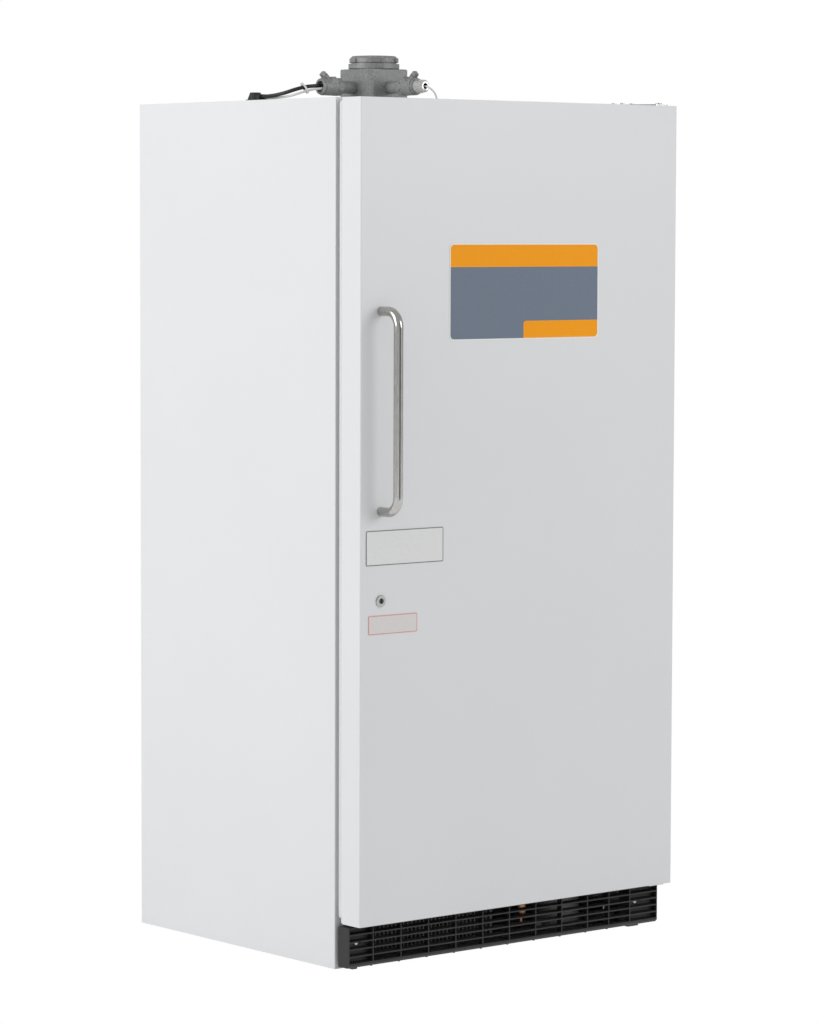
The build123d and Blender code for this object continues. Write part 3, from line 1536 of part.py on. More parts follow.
# Fan blade: a hub on the motor's shaft and five twisted blades
hub_radius_fan = 26.0
hub_depth = 22.0
blade_total = 5
blade_root_width = 30.0
blade_tip_width = 66.0
blade_sheet = 1.6
blade_angle_root = 38.0
blade_angle_tip = 24.0
with BuildPart() as fan_blade:
    with BuildSketch(fan_axis.offset(-hub_depth / 2 + 2.0)):
        Circle(hub_radius_fan)
        Circle(shaft_diameter / 2 + slip, mode=Mode.SUBTRACT)
    extrude(amount=hub_depth)
    for number in range(blade_total):
        outwards = fan_axis.x_dir.rotate(Axis(fan_axis.origin, fan_axis.z_dir), 360 / blade_total * number)
        middle = fan_axis.origin + fan_axis.z_dir * 2.0
        sideways = outwards.cross(fan_axis.z_dir)
        root_x = sideways.rotate(Axis((0, 0, 0), outwards), blade_angle_root)
        tip_x = sideways.rotate(Axis((0, 0, 0), outwards), blade_angle_tip)
        with BuildSketch(
            Plane(origin=middle + outwards * (hub_radius_fan - 4.0), x_dir=root_x, z_dir=outwards)
        ):
            Rectangle(blade_root_width, blade_sheet)
        with BuildSketch(
            Plane(origin=middle + outwards * (fan_radius - 4.0), x_dir=tip_x, z_dir=outwards)
        ):
            Rectangle(blade_tip_width, blade_sheet)
        loft()
    with BuildSketch(fan_axis.offset(-hub_depth)):
        Circle(shaft_diameter / 2 + slip)
    extrude(amount=2 * hub_depth, mode=Mode.SUBTRACT)
write(fan_blade, "fan_blade")

# Filter drier: copper capsule with necked ends, standing at the condenser's outlet
drier_x = 120.0
drier_y = tube_y - 36.0
drier_radius = 11.0
drier_low = pan_top + 38.0
drier_length = 56.0
drier_neck = 10.0
capillary = 6.0
with BuildPart() as filter_drier:
    with BuildSketch(Plane.XZ.offset(-drier_y)):
        with BuildLine():
            Polyline(
                (drier_x, drier_low),
                (drier_x + capillary, drier_low),
                (drier_x + drier_radius, drier_low + drier_neck),
                (drier_x + drier_radius, drier_low + drier_length - drier_neck),
                (drier_x + capillary, drier_low + drier_length),
                (drier_x, drier_low + drier_length),
                close=True,
            )
        make_face()
    revolve(axis=Axis((drier_x, drier_y, 0), (0, 0, 1)))
write(filter_drier, "filter_drier")

# Refrigerant tubing: discharge line, liquid line and return line
condenser_right = condenser_left + condenser_width
row_low = pan_top + condenser_height * 0.5 / tube_rows
row_high = pan_top + condenser_height * (tube_rows - 0.5) / tube_rows
tubing_radius = 3.2
tube_bend = 14.0
stub_end = compressor_y - shell_radius + 12 - 20


def tube_run(points, radius, bend):
    """Tube of the given radius along points with rounded corners."""
    with BuildPart() as run:
        with BuildLine() as line:
            FilletPolyline(*points, radius=bend)
        with BuildSketch(Plane(origin=points[0], z_dir=Vector(*points[1]) - Vector(*points[0]))):
            Circle(radius)
        sweep(path=line.wires()[0])
    return run.part


with BuildPart() as refrigerant_tubing:
    add(
        tube_run(
            [
                (compressor_x - 20, stub_end, discharge_z),
                (compressor_x - 20, stub_end - 26, discharge_z),
                (compressor_x - 20, stub_end - 26, row_high),
                (compressor_x - 20, tube_y, row_high),
                (condenser_right, tube_y, row_high),
            ],
            tubing_radius, tube_bend,
        )
    )
    add(
        tube_run(
            [
                (condenser_right, tube_y, row_low),
                (drier_x, tube_y, row_low),
                (drier_x, drier_y, row_low),
                (drier_x, drier_y, drier_low),
            ],
            tubing_radius, tube_bend,
        )
    )
    add(
        tube_run(
            [
                (suction_x, compressor_y, stub_top),
                (suction_x, compressor_y, stub_top + 32),
                (riser_x, riser_y, stub_top + 46),
                (riser_x, riser_y, riser_joint),
            ],
            riser_diameter / 2, tube_bend,
        )
    )
write(refrigerant_tubing, "refrigerant_tubing")

# Suction riser: straight tube past every shelf to the top one
with BuildPart() as suction_riser:
    with BuildSketch(Plane.XY.offset(riser_joint)):
        with Locations((riser_x, riser_y)):
            Circle(riser_diameter / 2)
    extrude(amount=shelf_level(shelf_count - 1) + shelf_sheet + channel_height - riser_joint)
write(suction_riser, "suction_riser")

# Control enclosure: round sealed housing with a screwed cover
enclosure_x = 270.0
enclosure_y = front + 110.0
enclosure_radius = 52.0
enclosure_height = 62.0
with BuildPart() as control_enclosure:
    with BuildSketch(Plane.XY.offset(pan_top)):
        with Locations((enclosure_x, enclosure_y)):
            Circle(enclosure_radius)
            RectangleRounded(2 * enclosure_radius + 36, 26, 12)
    extrude(amount=8)
    with BuildSketch(Plane.XY.offset(pan_top)):
        with Locations((enclosure_x, enclosure_y)):
            Circle(enclosure_radius)
    extrude(amount=enclosure_height)
    with BuildSketch(Plane.XY.offset(pan_top + enclosure_height)):
        with Locations((enclosure_x, enclosure_y)):
            Circle(enclosure_radius + 4)
    extrude(amount=20)
    chamfer(control_enclosure.edges().filter_by(GeomType.CIRCLE).sort_by(Axis.Z)[-1], 5)
write(control_enclosure, "control_enclosure")

# Rear service cover: louvred sheet over the machine compartment
cover_half = half_width - 12.0
cover_high = deck_high + 10.0
slot_length = 62.0
slot_height = 6.0
slot_columns = 8
slot_rows = 6
slot_pitch_x = 96.0
slot_pitch_z = 30.0
with BuildPart() as service_cover:
    with BuildSketch(Plane.XZ.offset(-rear)):
        with Locations((0, (cover_low + cover_high) / 2)):
            RectangleRounded(2 * cover_half, cover_high - cover_low, 6)
            with GridLocations(slot_pitch_x, slot_pitch_z, slot_columns, slot_rows):
                Rectangle(slot_length, slot_height, mode=Mode.SUBTRACT)
        with Locations(*cover_screws):
            Circle(screw_shank / 2 + slip, mode=Mode.SUBTRACT)
    extrude(amount=-cover_sheet)
write(service_cover, "service_cover")

# Panel screws: two hold the grille's ends, eight hold the rear cover
grille_screws = [(screw_left_x, grille_screw_height), (screw_right_x, grille_screw_height)]
with BuildPart() as panel_screws:
    with BuildSketch(Plane.XZ.offset(-rear - cover_sheet)):
        with Locations(*cover_screws):
            Circle(screw_head_diameter / 2)
    extrude(amount=-screw_head)
    with BuildSketch(Plane.XZ.offset(-rear - cover_sheet)):
        with Locations(*cover_screws):
            Circle(screw_shank / 2)
    extrude(amount=cover_sheet + sheet + 3.0)
    with BuildSketch(Plane.XZ.offset(-blade_back)):
        with Locations(*grille_screws):
            Circle(screw_head_diameter / 2)
    extrude(amount=2.6)
    chamfer(panel_screws.edges().filter_by(GeomType.CIRCLE).group_by(Axis.Y)[0], 1.2)
    with BuildSketch(Plane.XZ.offset(-blade_back)):
        with Locations(*grille_screws):
            Circle(screw_shank / 2)
    extrude(amount=-grille_wall - pan_sheet - 3.0)
write(panel_screws, "panel_screws")


def upright_bolt(place, seat_level):
    """Hexagon bolt that points down, its head on seat_level."""
    with BuildPart() as bolt:
        with BuildSketch(Plane.XY.offset(seat_level)):
            with Locations(place):
                RegularPolygon(bolt_head / 2, 6, major_radius=False)
        extrude(amount=bolt_head_height)
        with BuildSketch(Plane.XY.offset(seat_level)):
            with Locations(place):
                Circle(bolt_shank / 2)
        extrude(amount=top - bolt_reach - seat_level)
    return bolt.part


# Hexagon bolts: hinge plates, junction box and lock strike
with BuildPart() as hex_bolts:
    for place in top_bolts:
        add(upright_bolt(place, top + top_plate))
    for place in box_bolts:
        add(upright_bolt(place, top + tab_height))
    with BuildSketch(Plane.XZ.offset(-front + bottom_plate)):
        with Locations(*bottom_bolts):
            RegularPolygon(bolt_head / 2, 6, major_radius=False)
    extrude(amount=bolt_head_height)
    with BuildSketch(Plane.XZ.offset(-front + bottom_plate)):
        with Locations(*bottom_bolts):
            Circle(bolt_shank / 2)
    extrude(amount=-bolt_reach)
write(hex_bolts, "hex_bolts")
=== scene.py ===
import math

import bpy
from mathutils import Matrix, Vector


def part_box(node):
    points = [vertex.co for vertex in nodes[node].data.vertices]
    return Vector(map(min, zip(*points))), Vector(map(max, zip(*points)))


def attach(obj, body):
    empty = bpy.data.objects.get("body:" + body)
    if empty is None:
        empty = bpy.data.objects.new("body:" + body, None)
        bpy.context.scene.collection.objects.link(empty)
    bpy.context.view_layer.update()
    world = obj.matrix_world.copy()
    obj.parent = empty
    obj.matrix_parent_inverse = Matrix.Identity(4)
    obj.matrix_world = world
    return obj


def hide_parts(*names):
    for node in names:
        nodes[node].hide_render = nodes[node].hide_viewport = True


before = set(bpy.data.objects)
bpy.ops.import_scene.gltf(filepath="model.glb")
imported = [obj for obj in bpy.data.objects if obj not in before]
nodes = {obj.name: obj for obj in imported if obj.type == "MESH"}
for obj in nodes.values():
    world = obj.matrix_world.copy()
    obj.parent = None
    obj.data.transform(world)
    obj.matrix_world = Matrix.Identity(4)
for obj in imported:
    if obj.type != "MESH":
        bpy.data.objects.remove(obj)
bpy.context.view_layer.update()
bpy.ops.object.select_all(action="DESELECT")

# The frame gives the cabinet's front plane, its roof and its base, and the door's face. Everything below
# is placed from them.
cabinet_low, cabinet_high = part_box("side_panel_left")
front = cabinet_low.y
base = cabinet_low.z
roof = cabinet_high.z
door_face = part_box("door_panel")[0].y

# Camera, at the photograph's viewing angle: left of the front and a few degrees above the middle of the
# cabinet, with a long lens from far away.
azimuth = math.radians(-39.55)
elevation = math.radians(4.25)
roll = math.radians(0.16)
view_distance = 7.969
focal_pixels = 3815.3
picture_height = 1024
camera_film = 36.0
far_clip = 60.0
target = Vector((-0.2419, front, base + 0.942))
towards_camera = Vector(
    (
        math.sin(azimuth) * math.cos(elevation),
        -math.cos(azimuth) * math.cos(elevation),
        math.sin(elevation),
    )
)
bpy.ops.object.camera_add(location=target + towards_camera * view_distance)
camera = bpy.context.object
camera.name = "photo_camera"
camera.data.sensor_fit = "VERTICAL"
camera.data.sensor_height = camera_film
camera.data.lens = camera_film * focal_pixels / picture_height
camera.data.clip_end = far_clip
facing = towards_camera.to_track_quat("Z", "Y").to_matrix()
camera.rotation_euler = (facing @ Matrix.Rotation(roll, 3, "Z")).to_euler()
bpy.context.scene.camera = camera


def smooth_cord(name, route, radius, rounding):
    """A round cord along a route: one open smooth spline with the route's points as control points."""
    line = bpy.data.curves.new(name, "CURVE")
    line.dimensions = "3D"
    line.bevel_depth = radius
    line.bevel_resolution = rounding
    line.resolution_u = 16
    line.use_fill_caps = True
    spline = line.splines.new("NURBS")
    spline.points.add(len(route) - 1)
    for point, place in zip(spline.points, route):
        point.co = (*place, 1.0)
    spline.order_u = 3
    spline.use_endpoint_u = True
    cord = bpy.data.objects.new(name, line)
    bpy.context.scene.collection.objects.link(cord)
    return cord


# Black power cable: round rubber flex from the left seal fitting to the hooded grommet. It is held at
# both ends and lies low over the roof between them.
fitting_level = roof + 0.0295
box_centre = Vector((-0.1745, front + 0.2045, roof))
box_face_front = box_centre.y - 0.0545
black_radius = 0.004
black_route = [
    (-0.3105, box_centre.y + 0.002, roof + 0.0315),
    (-0.341, box_centre.y + 0.003, roof + 0.0305),
    (-0.368, box_centre.y + 0.0135, roof + 0.0245),
    (-0.386, box_centre.y + 0.036, roof + 0.015),
    (-0.394, box_centre.y + 0.064, roof + 0.010),
    (-0.3955, box_centre.y + 0.093, roof + 0.009),
    (-0.395, box_centre.y + 0.116, roof + 0.0086),
]
black_cable = smooth_cord("black_power_cable", black_route, black_radius, rounding=8)
black_rubber = bpy.data.materials.new("black flex")
black_rubber.use_nodes = True
flex_tree = black_rubber.node_tree
flex_surface = flex_tree.nodes["Principled BSDF"]
flex_surface.inputs["Roughness"].default_value = 0.42
flex_place = flex_tree.nodes.new("ShaderNodeTexCoord")
flex_grain = flex_tree.nodes.new("ShaderNodeTexNoise")
flex_grain.inputs["Scale"].default_value = 900.0
flex_tint = flex_tree.nodes.new("ShaderNodeValToRGB")
flex_tint.color_ramp.elements[0].color = (0.009, 0.009, 0.010, 1)
flex_tint.color_ramp.elements[1].color = (0.015, 0.015, 0.016, 1)
flex_bump = flex_tree.nodes.new("ShaderNodeBump")
flex_bump.inputs["Strength"].default_value = 0.15
flex_bump.inputs["Distance"].default_value = 0.0003
flex_tree.links.new(flex_place.outputs["Object"], flex_grain.inputs["Vector"])
flex_tree.links.new(flex_grain.outputs["Fac"], flex_tint.inputs["Fac"])
flex_tree.links.new(flex_tint.outputs["Color"], flex_surface.inputs["Base Color"])
flex_tree.links.new(flex_grain.outputs["Fac"], flex_bump.inputs["Height"])
flex_tree.links.new(flex_bump.outputs["Normal"], flex_surface.inputs["Normal"])
black_cable.data.materials.append(black_rubber)
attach(black_cable, "cabinet")
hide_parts("power_cable_black")

# White control cable: a thinner sheathed lead that runs beside the black one, in front of it and lower.
# It ends in the same hooded grommet.
white_radius = 0.0025
white_route = [
    (-0.3105, box_centre.y - 0.0065, roof + 0.026),
    (-0.338, box_centre.y - 0.0055, roof + 0.024),
    (-0.362, box_centre.y + 0.003, roof + 0.0175),
    (-0.3775, box_centre.y + 0.025, roof + 0.009),
    (-0.3845, box_centre.y + 0.052, roof + 0.006),
    (-0.386, box_centre.y + 0.081, roof + 0.0054),
    (-0.3855, box_centre.y + 0.112, roof + 0.0052),
]
white_cable = smooth_cord("white_control_cable", white_route, white_radius, rounding=8)
white_sheath = bpy.data.materials.new("white sheath")
white_sheath.use_nodes = True
sheath_tree = white_sheath.node_tree
sheath_surface = sheath_tree.nodes["Principled BSDF"]
sheath_surface.inputs["Roughness"].default_value = 0.35
sheath_place = sheath_tree.nodes.new("ShaderNodeTexCoord")
sheath_grain = sheath_tree.nodes.new("ShaderNodeTexNoise")
sheath_grain.inputs["Scale"].default_value = 260.0
sheath_tint = sheath_tree.nodes.new("ShaderNodeValToRGB")
sheath_tint.color_ramp.elements[0].color = (0.62, 0.62, 0.60, 1)
sheath_tint.color_ramp.elements[1].color = (0.76, 0.76, 0.74, 1)
sheath_tree.links.new(sheath_place.outputs["Object"], sheath_grain.inputs["Vector"])
sheath_tree.links.new(sheath_grain.outputs["Fac"], sheath_tint.inputs["Fac"])
sheath_tree.links.new(sheath_tint.outputs["Color"], sheath_surface.inputs["Base Color"])
white_cable.data.materials.append(white_sheath)
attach(white_cable, "cabinet")
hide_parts("power_cable_white")

# White sensor lead: a thin limp wire that leaves the gland of the front seal fitting and drops through a
# small grommet at the roof's front edge.
lead_radius = 0.002
gland_mouth = box_face_front - 0.117
lead_route = [
    (box_centre.x, gland_mouth + 0.010, fitting_level),
    (box_centre.x, gland_mouth - 0.003, fitting_level),
    (box_centre.x + 0.006, gland_mouth - 0.012, fitting_level - 0.0065),
    (box_centre.x + 0.015, gland_mouth - 0.0135, fitting_level - 0.015),
    (-0.153, front + 0.021, roof + 0.002),
    (-0.1525, front + 0.0215, roof - 0.010),
]
sensor_wire = smooth_cord("white_sensor_lead", lead_route, lead_radius, rounding=6)
sensor_wire.data.materials.append(white_sheath)
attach(sensor_wire, "cabinet")
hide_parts("sensor_lead")

# Painted cabinet: white baked enamel on folded steel sheet. The paint has a faint orange peel and very
# slight clouding, and the door's paint is the same coat as the cabinet's.
white_enamel = bpy.data.materials.new("white enamel")
white_enamel.use_nodes = True
paint_tree = white_enamel.node_tree
paint_surface = paint_tree.nodes["Principled BSDF"]
paint_surface.inputs["Roughness"].default_value = 0.36
paint_surface.inputs["Coat Weight"].default_value = 0.15
paint_surface.inputs["Coat Roughness"].default_value = 0.2
paint_place = paint_tree.nodes.new("ShaderNodeTexCoord")
paint_cloud = paint_tree.nodes.new("ShaderNodeTexNoise")
paint_cloud.inputs["Scale"].default_value = 2.5
paint_cloud.inputs["Detail"].default_value = 3.0
paint_tint = paint_tree.nodes.new("ShaderNodeValToRGB")
paint_tint.color_ramp.elements[0].color = (0.755, 0.76, 0.765, 1)
paint_tint.color_ramp.elements[1].color = (0.79, 0.795, 0.80, 1)
paint_peel = paint_tree.nodes.new("ShaderNodeTexNoise")
paint_peel.inputs["Scale"].default_value = 420.0
paint_peel.inputs["Detail"].default_value = 2.0
paint_bump = paint_tree.nodes.new("ShaderNodeBump")
paint_bump.inputs["Strength"].default_value = 0.06
paint_bump.inputs["Distance"].default_value = 0.0004
paint_tree.links.new(paint_place.outputs["Object"], paint_cloud.inputs["Vector"])
paint_tree.links.new(paint_cloud.outputs["Fac"], paint_tint.inputs["Fac"])
paint_tree.links.new(paint_tint.outputs["Color"], paint_surface.inputs["Base Color"])
paint_tree.links.new(paint_place.outputs["Object"], paint_peel.inputs["Vector"])
paint_tree.links.new(paint_peel.outputs["Fac"], paint_bump.inputs["Height"])
paint_tree.links.new(paint_bump.outputs["Normal"], paint_surface.inputs["Normal"])


def grained(name, dark, light, roughness, scale, depth, metallic=0.0, stretch=(1, 1, 1)):
    """A material with a grain of two tints, stretched along one axis where stretch isn't 1."""
    material = bpy.data.materials.new(name)
    material.use_nodes = True
    tree = material.node_tree
    surface = tree.nodes["Principled BSDF"]
    surface.inputs["Roughness"].default_value = roughness
    surface.inputs["Metallic"].default_value = metallic
    place = tree.nodes.new("ShaderNodeTexCoord")
    mapping = tree.nodes.new("ShaderNodeMapping")
    mapping.inputs["Scale"].default_value = stretch
    grain = tree.nodes.new("ShaderNodeTexNoise")
    grain.inputs["Scale"].default_value = scale
    grain.inputs["Detail"].default_value = 4.0
    tint = tree.nodes.new("ShaderNodeValToRGB")
    tint.color_ramp.elements[0].position = 0.35
    tint.color_ramp.elements[1].position = 0.65
    tint.color_ramp.elements[0].color = (*dark, 1)
    tint.color_ramp.elements[1].color = (*light, 1)
    bump = tree.nodes.new("ShaderNodeBump")
    bump.inputs["Strength"].default_value = 0.4
    bump.inputs["Distance"].default_value = depth
    tree.links.new(place.outputs["Object"], mapping.inputs["Vector"])
    tree.links.new(mapping.outputs["Vector"], grain.inputs["Vector"])
    tree.links.new(grain.outputs["Fac"], tint.inputs["Fac"])
    tree.links.new(tint.outputs["Color"], surface.inputs["Base Color"])
    tree.links.new(grain.outputs["Fac"], bump.inputs["Height"])
    tree.links.new(bump.outputs["Normal"], surface.inputs["Normal"])
    return material


# Other materials, from the cabinet outwards. Metals have a directional grain where they are rolled or
# brushed, castings are sandy, and plastics have a fine matt grain.
upright_grain = (1, 1, 0.05)
level_grain = (0.05, 1, 1)
pan_paint = grained(
    "grey pan paint", dark=(0.10, 0.10, 0.10), light=(0.14, 0.14, 0.14),
    roughness=0.5, scale=300, depth=0.0002,
)
galvanised = grained(
    "galvanised sheet", dark=(0.46, 0.47, 0.48), light=(0.53, 0.54, 0.55),
    roughness=0.42, scale=140, depth=0.00005, metallic=0.85,
)
stainless = grained(
    "brushed stainless", dark=(0.44, 0.43, 0.41), light=(0.56, 0.55, 0.53),
    roughness=0.15, scale=900, depth=0.00001, metallic=1.0, stretch=upright_grain,
)
chrome = grained(
    "chromed lock", dark=(0.42, 0.42, 0.41), light=(0.50, 0.50, 0.49),
    roughness=0.14, scale=500, depth=0.00001, metallic=1.0,
)
dark_steel = grained(
    "dark key plug", dark=(0.05, 0.055, 0.06), light=(0.09, 0.095, 0.10),
    roughness=0.25, scale=500, depth=0.00001, metallic=0.9,
)
zinc = grained(
    "bright zinc", dark=(0.50, 0.50, 0.48), light=(0.64, 0.63, 0.60),
    roughness=0.32, scale=320, depth=0.00003, metallic=0.95,
)
liner_white = grained(
    "white liner sheet", dark=(0.74, 0.75, 0.75), light=(0.78, 0.79, 0.79),
    roughness=0.3, scale=220, depth=0.00005,
)
foam = grained(
    "rigid foam", dark=(0.66, 0.56, 0.34), light=(0.78, 0.69, 0.47),
    roughness=0.9, scale=500, depth=0.0006,
)
gasket_vinyl = grained(
    "gasket vinyl", dark=(0.66, 0.67, 0.67), light=(0.74, 0.75, 0.75),
    roughness=0.5, scale=350, depth=0.0001,
)
grille_plastic = grained(
    "grille plastic", dark=(0.013, 0.013, 0.012), light=(0.020, 0.020, 0.019),
    roughness=0.55, scale=700, depth=0.0002,
)
plate_metal = grained(
    "aluminium plate", dark=(0.52, 0.53, 0.54), light=(0.66, 0.67, 0.68),
    roughness=0.36, scale=400, depth=0.00005, metallic=0.9, stretch=level_grain,
)
fin_metal = grained(
    "dusty fins", dark=(0.16, 0.155, 0.15), light=(0.27, 0.265, 0.255),
    roughness=0.6, scale=150, depth=0.0001, metallic=0.4,
)
cast_grey = grained(
    "grey casting", dark=(0.20, 0.202, 0.198), light=(0.31, 0.312, 0.308),
    roughness=0.45, scale=330, depth=0.0007, metallic=0.15,
)
nylon = grained(
    "white nylon", dark=(0.66, 0.66, 0.64), light=(0.74, 0.74, 0.72),
    roughness=0.4, scale=300, depth=0.00005,
)
black_paint = grained(
    "black shell paint", dark=(0.010, 0.010, 0.010), light=(0.018, 0.018, 0.018),
    roughness=0.35, scale=260, depth=0.0002,
)
black_boot = grained(
    "black boot rubber", dark=(0.012, 0.012, 0.012), light=(0.020, 0.020, 0.020),
    roughness=0.6, scale=600, depth=0.0002,
)
copper = grained(
    "copper tube", dark=(0.42, 0.19, 0.10), light=(0.62, 0.31, 0.17),
    roughness=0.35, scale=120, depth=0.00005, metallic=1.0,
)
gland_metal = grained(
    "nickelled gland", dark=(0.60, 0.60, 0.57), light=(0.78, 0.78, 0.75),
    roughness=0.28, scale=300, depth=0.00005, metallic=0.75,
)

# Gland bore: inside the gland's mouth the nickel gives way to a dark rubber seal, by distance from the
# gland's axis. The seal is painted near black and without sheen, which adds painted shade for the depth
# of the bore.
gland_bore = 0.0062
gland_tree = gland_metal.node_tree
gland_place = gland_tree.nodes.new("ShaderNodeTexCoord")
gland_shift = gland_tree.nodes.new("ShaderNodeVectorMath")
gland_shift.operation = "SUBTRACT"
gland_shift.inputs[1].default_value = (box_centre.x, 0, fitting_level)
gland_flat = gland_tree.nodes.new("ShaderNodeVectorMath")
gland_flat.operation = "MULTIPLY"
gland_flat.inputs[1].default_value = (1, 0, 1)
gland_radius = gland_tree.nodes.new("ShaderNodeVectorMath")
gland_radius.operation = "LENGTH"
gland_inside = gland_tree.nodes.new("ShaderNodeMath")
gland_inside.operation = "LESS_THAN"
gland_inside.inputs[1].default_value = gland_bore
# Near-black glossless colour: the seal's own dark plus painted shade inside the recessed bore.
gland_seal_shade = gland_tree.nodes.new("ShaderNodeBsdfDiffuse")
gland_seal_shade.inputs["Color"].default_value = (0.006, 0.006, 0.006, 1)
gland_mix = gland_tree.nodes.new("ShaderNodeMixShader")
gland_tree.links.new(gland_place.outputs["Object"], gland_shift.inputs[0])
gland_tree.links.new(gland_shift.outputs["Vector"], gland_flat.inputs[0])
gland_tree.links.new(gland_flat.outputs["Vector"], gland_radius.inputs[0])
gland_tree.links.new(gland_radius.outputs["Value"], gland_inside.inputs[0])
gland_tree.links.new(gland_inside.outputs["Value"], gland_mix.inputs["Fac"])
gland_tree.links.new(gland_tree.nodes["Principled BSDF"].outputs["BSDF"], gland_mix.inputs[1])
gland_tree.links.new(gland_seal_shade.outputs["BSDF"], gland_mix.inputs[2])
gland_tree.links.new(gland_mix.outputs["Shader"], gland_tree.nodes["Material Output"].inputs["Surface"])

# Which piece wears which material. Every piece of the frame is listed once, apart from the three that
# the cords replace.
dressing = {
    white_enamel: (
        "side_panel_left", "side_panel_right", "roof_panel", "front_rail", "door_panel", "service_cover",
    ),
    pan_paint: ("base_pan",),
    galvanised: ("back_panel", "compartment_deck", "fan_shroud", "fan_motor"),
    stainless: ("door_handle",),
    chrome: ("lock_cylinder",),
    dark_steel: ("lock_plug",),
    zinc: (
        "lock_strike", "lock_cam", "top_hinge_plate", "bottom_hinge_bracket", "hinge_pins", "hex_bolts",
        "panel_screws", "handle_screws", "foot_front_left", "foot_front_right", "foot_rear_left",
        "foot_rear_right",
    ),
    liner_white: ("inner_liner", "door_liner", "shelf_brackets"),
    foam: ("foam_insulation", "door_foam"),
    gasket_vinyl: ("door_gasket", "breaker_strip"),
    grille_plastic: ("kick_grille",),
    plate_metal: ("shelf_1", "shelf_2", "shelf_3", "shelf_4", "fan_blade"),
    fin_metal: ("condenser",),
    cast_grey: (
        "junction_box", "junction_box_lid", "conduit_nipples", "seal_fitting_left", "seal_fitting_front",
        "seal_plugs", "control_enclosure",
    ),
    nylon: ("hinge_bushes", "cable_tie"),
    black_paint: ("compressor",),
    black_boot: ("roof_grommets", "compressor_mounts"),
    copper: ("filter_drier", "refrigerant_tubing", "suction_riser"),
    gland_metal: ("cable_gland",),
}
for material, names in dressing.items():
    for name in names:
        nodes[name].data.materials.clear()
        nodes[name].data.materials.append(material)

# Liner skin over the front of the hump: white sheet that follows the rounded foot and the rounded brow of
# the step in the cavity's floor, and turns forward along both side walls with the liner's corner radius.
liner_low, liner_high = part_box("inner_liner")
cavity_floor = base + 0.164
hump_top = base + 0.384
hump_front = liner_high.y - 0.2518
skin_wall = 0.001
foot_radius = 0.0168
brow_radius = 0.0192
side_radius = 0.0164
side_start = 0.0162
floor_lap = 0.0008
top_lap = 0.0002
arc_steps = 8
crease = math.radians(40)
skin_flat = (liner_high.x - liner_low.x) / 2 - side_start
turns = [math.radians(90 / arc_steps * step) for step in range(arc_steps + 1)]
skin_profile = []
for turn in turns:
    back = hump_front - foot_radius + foot_radius * math.sin(turn)
    up = cavity_floor - floor_lap + foot_radius * (1 - math.cos(turn))
    skin_profile.append((back, up, -math.sin(turn), math.cos(turn)))
for turn in turns:
    back = hump_front + brow_radius * (1 - math.cos(turn))
    up = hump_top + top_lap - brow_radius * (1 - math.sin(turn))
    skin_profile.append((back, up, -math.cos(turn), math.sin(turn)))
skin_columns = []
for side, sweep in ((-1, turns[::-1]), (1, turns)):
    for turn in sweep:
        across = side * (skin_flat + side_radius * math.sin(turn))
        rise = side_radius * (1 - math.cos(turn))
        skin_columns.append((across, rise))
skin_points = []
for across, rise in skin_columns:
    for back, up, toward_back, toward_top in skin_profile:
        skin_points.append((across, back + rise * toward_back, up + rise * toward_top))
skin_rows = len(skin_profile)
skin_faces = []
for column in range(len(skin_columns) - 1):
    for row in range(skin_rows - 1):
        corner = column * skin_rows + row
        skin_faces.append((corner, corner + skin_rows, corner + skin_rows + 1, corner + 1))
skin_sheet = bpy.data.meshes.new("hump_skin")
skin_sheet.from_pydata(skin_points, [], skin_faces)
hump_skin = bpy.data.objects.new("hump_skin", skin_sheet)
bpy.context.scene.collection.objects.link(hump_skin)
bpy.context.view_layer.objects.active = hump_skin
hump_skin.select_set(True)
thickness = hump_skin.modifiers.new("sheet", "SOLIDIFY")
thickness.thickness = skin_wall
thickness.offset = 0.0
bpy.ops.object.modifier_apply(modifier="sheet")
bpy.ops.object.shade_smooth_by_angle(angle=crease)
hump_skin.data.materials.append(liner_white)
hump_skin.select_set(False)
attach(hump_skin, "cabinet")


def plate_mesh(name, left, right, low, high, corner, proud, material):
    """A thin plate on the door's face with rounded corners, its front standing proud of the paint."""
    bpy.ops.mesh.primitive_plane_add(size=1)
    plate = bpy.context.object
    plate.name = name
    bpy.ops.object.mode_set(mode="EDIT")
    bpy.ops.mesh.select_all(action="SELECT")
    bpy.ops.transform.resize(value=(right - left, high - low, 1))
    bpy.ops.mesh.bevel(offset=corner, segments=6, affect="VERTICES")
    bpy.ops.mesh.select_all(action="SELECT")
    bpy.ops.transform.rotate(value=math.radians(90), orient_axis="X")
    bpy.ops.mesh.extrude_region_move(TRANSFORM_OT_translate={"value": (0, -proud, 0)})
    bpy.ops.mesh.select_all(action="SELECT")
    bpy.ops.transform.translate(value=((left + right) / 2, door_face, (low + high) / 2))
    bpy.ops.mesh.normals_make_consistent(inside=False)
    bpy.ops.object.mode_set(mode="OBJECT")
    plate.data.materials.append(material)
    plate.select_set(False)
    return plate


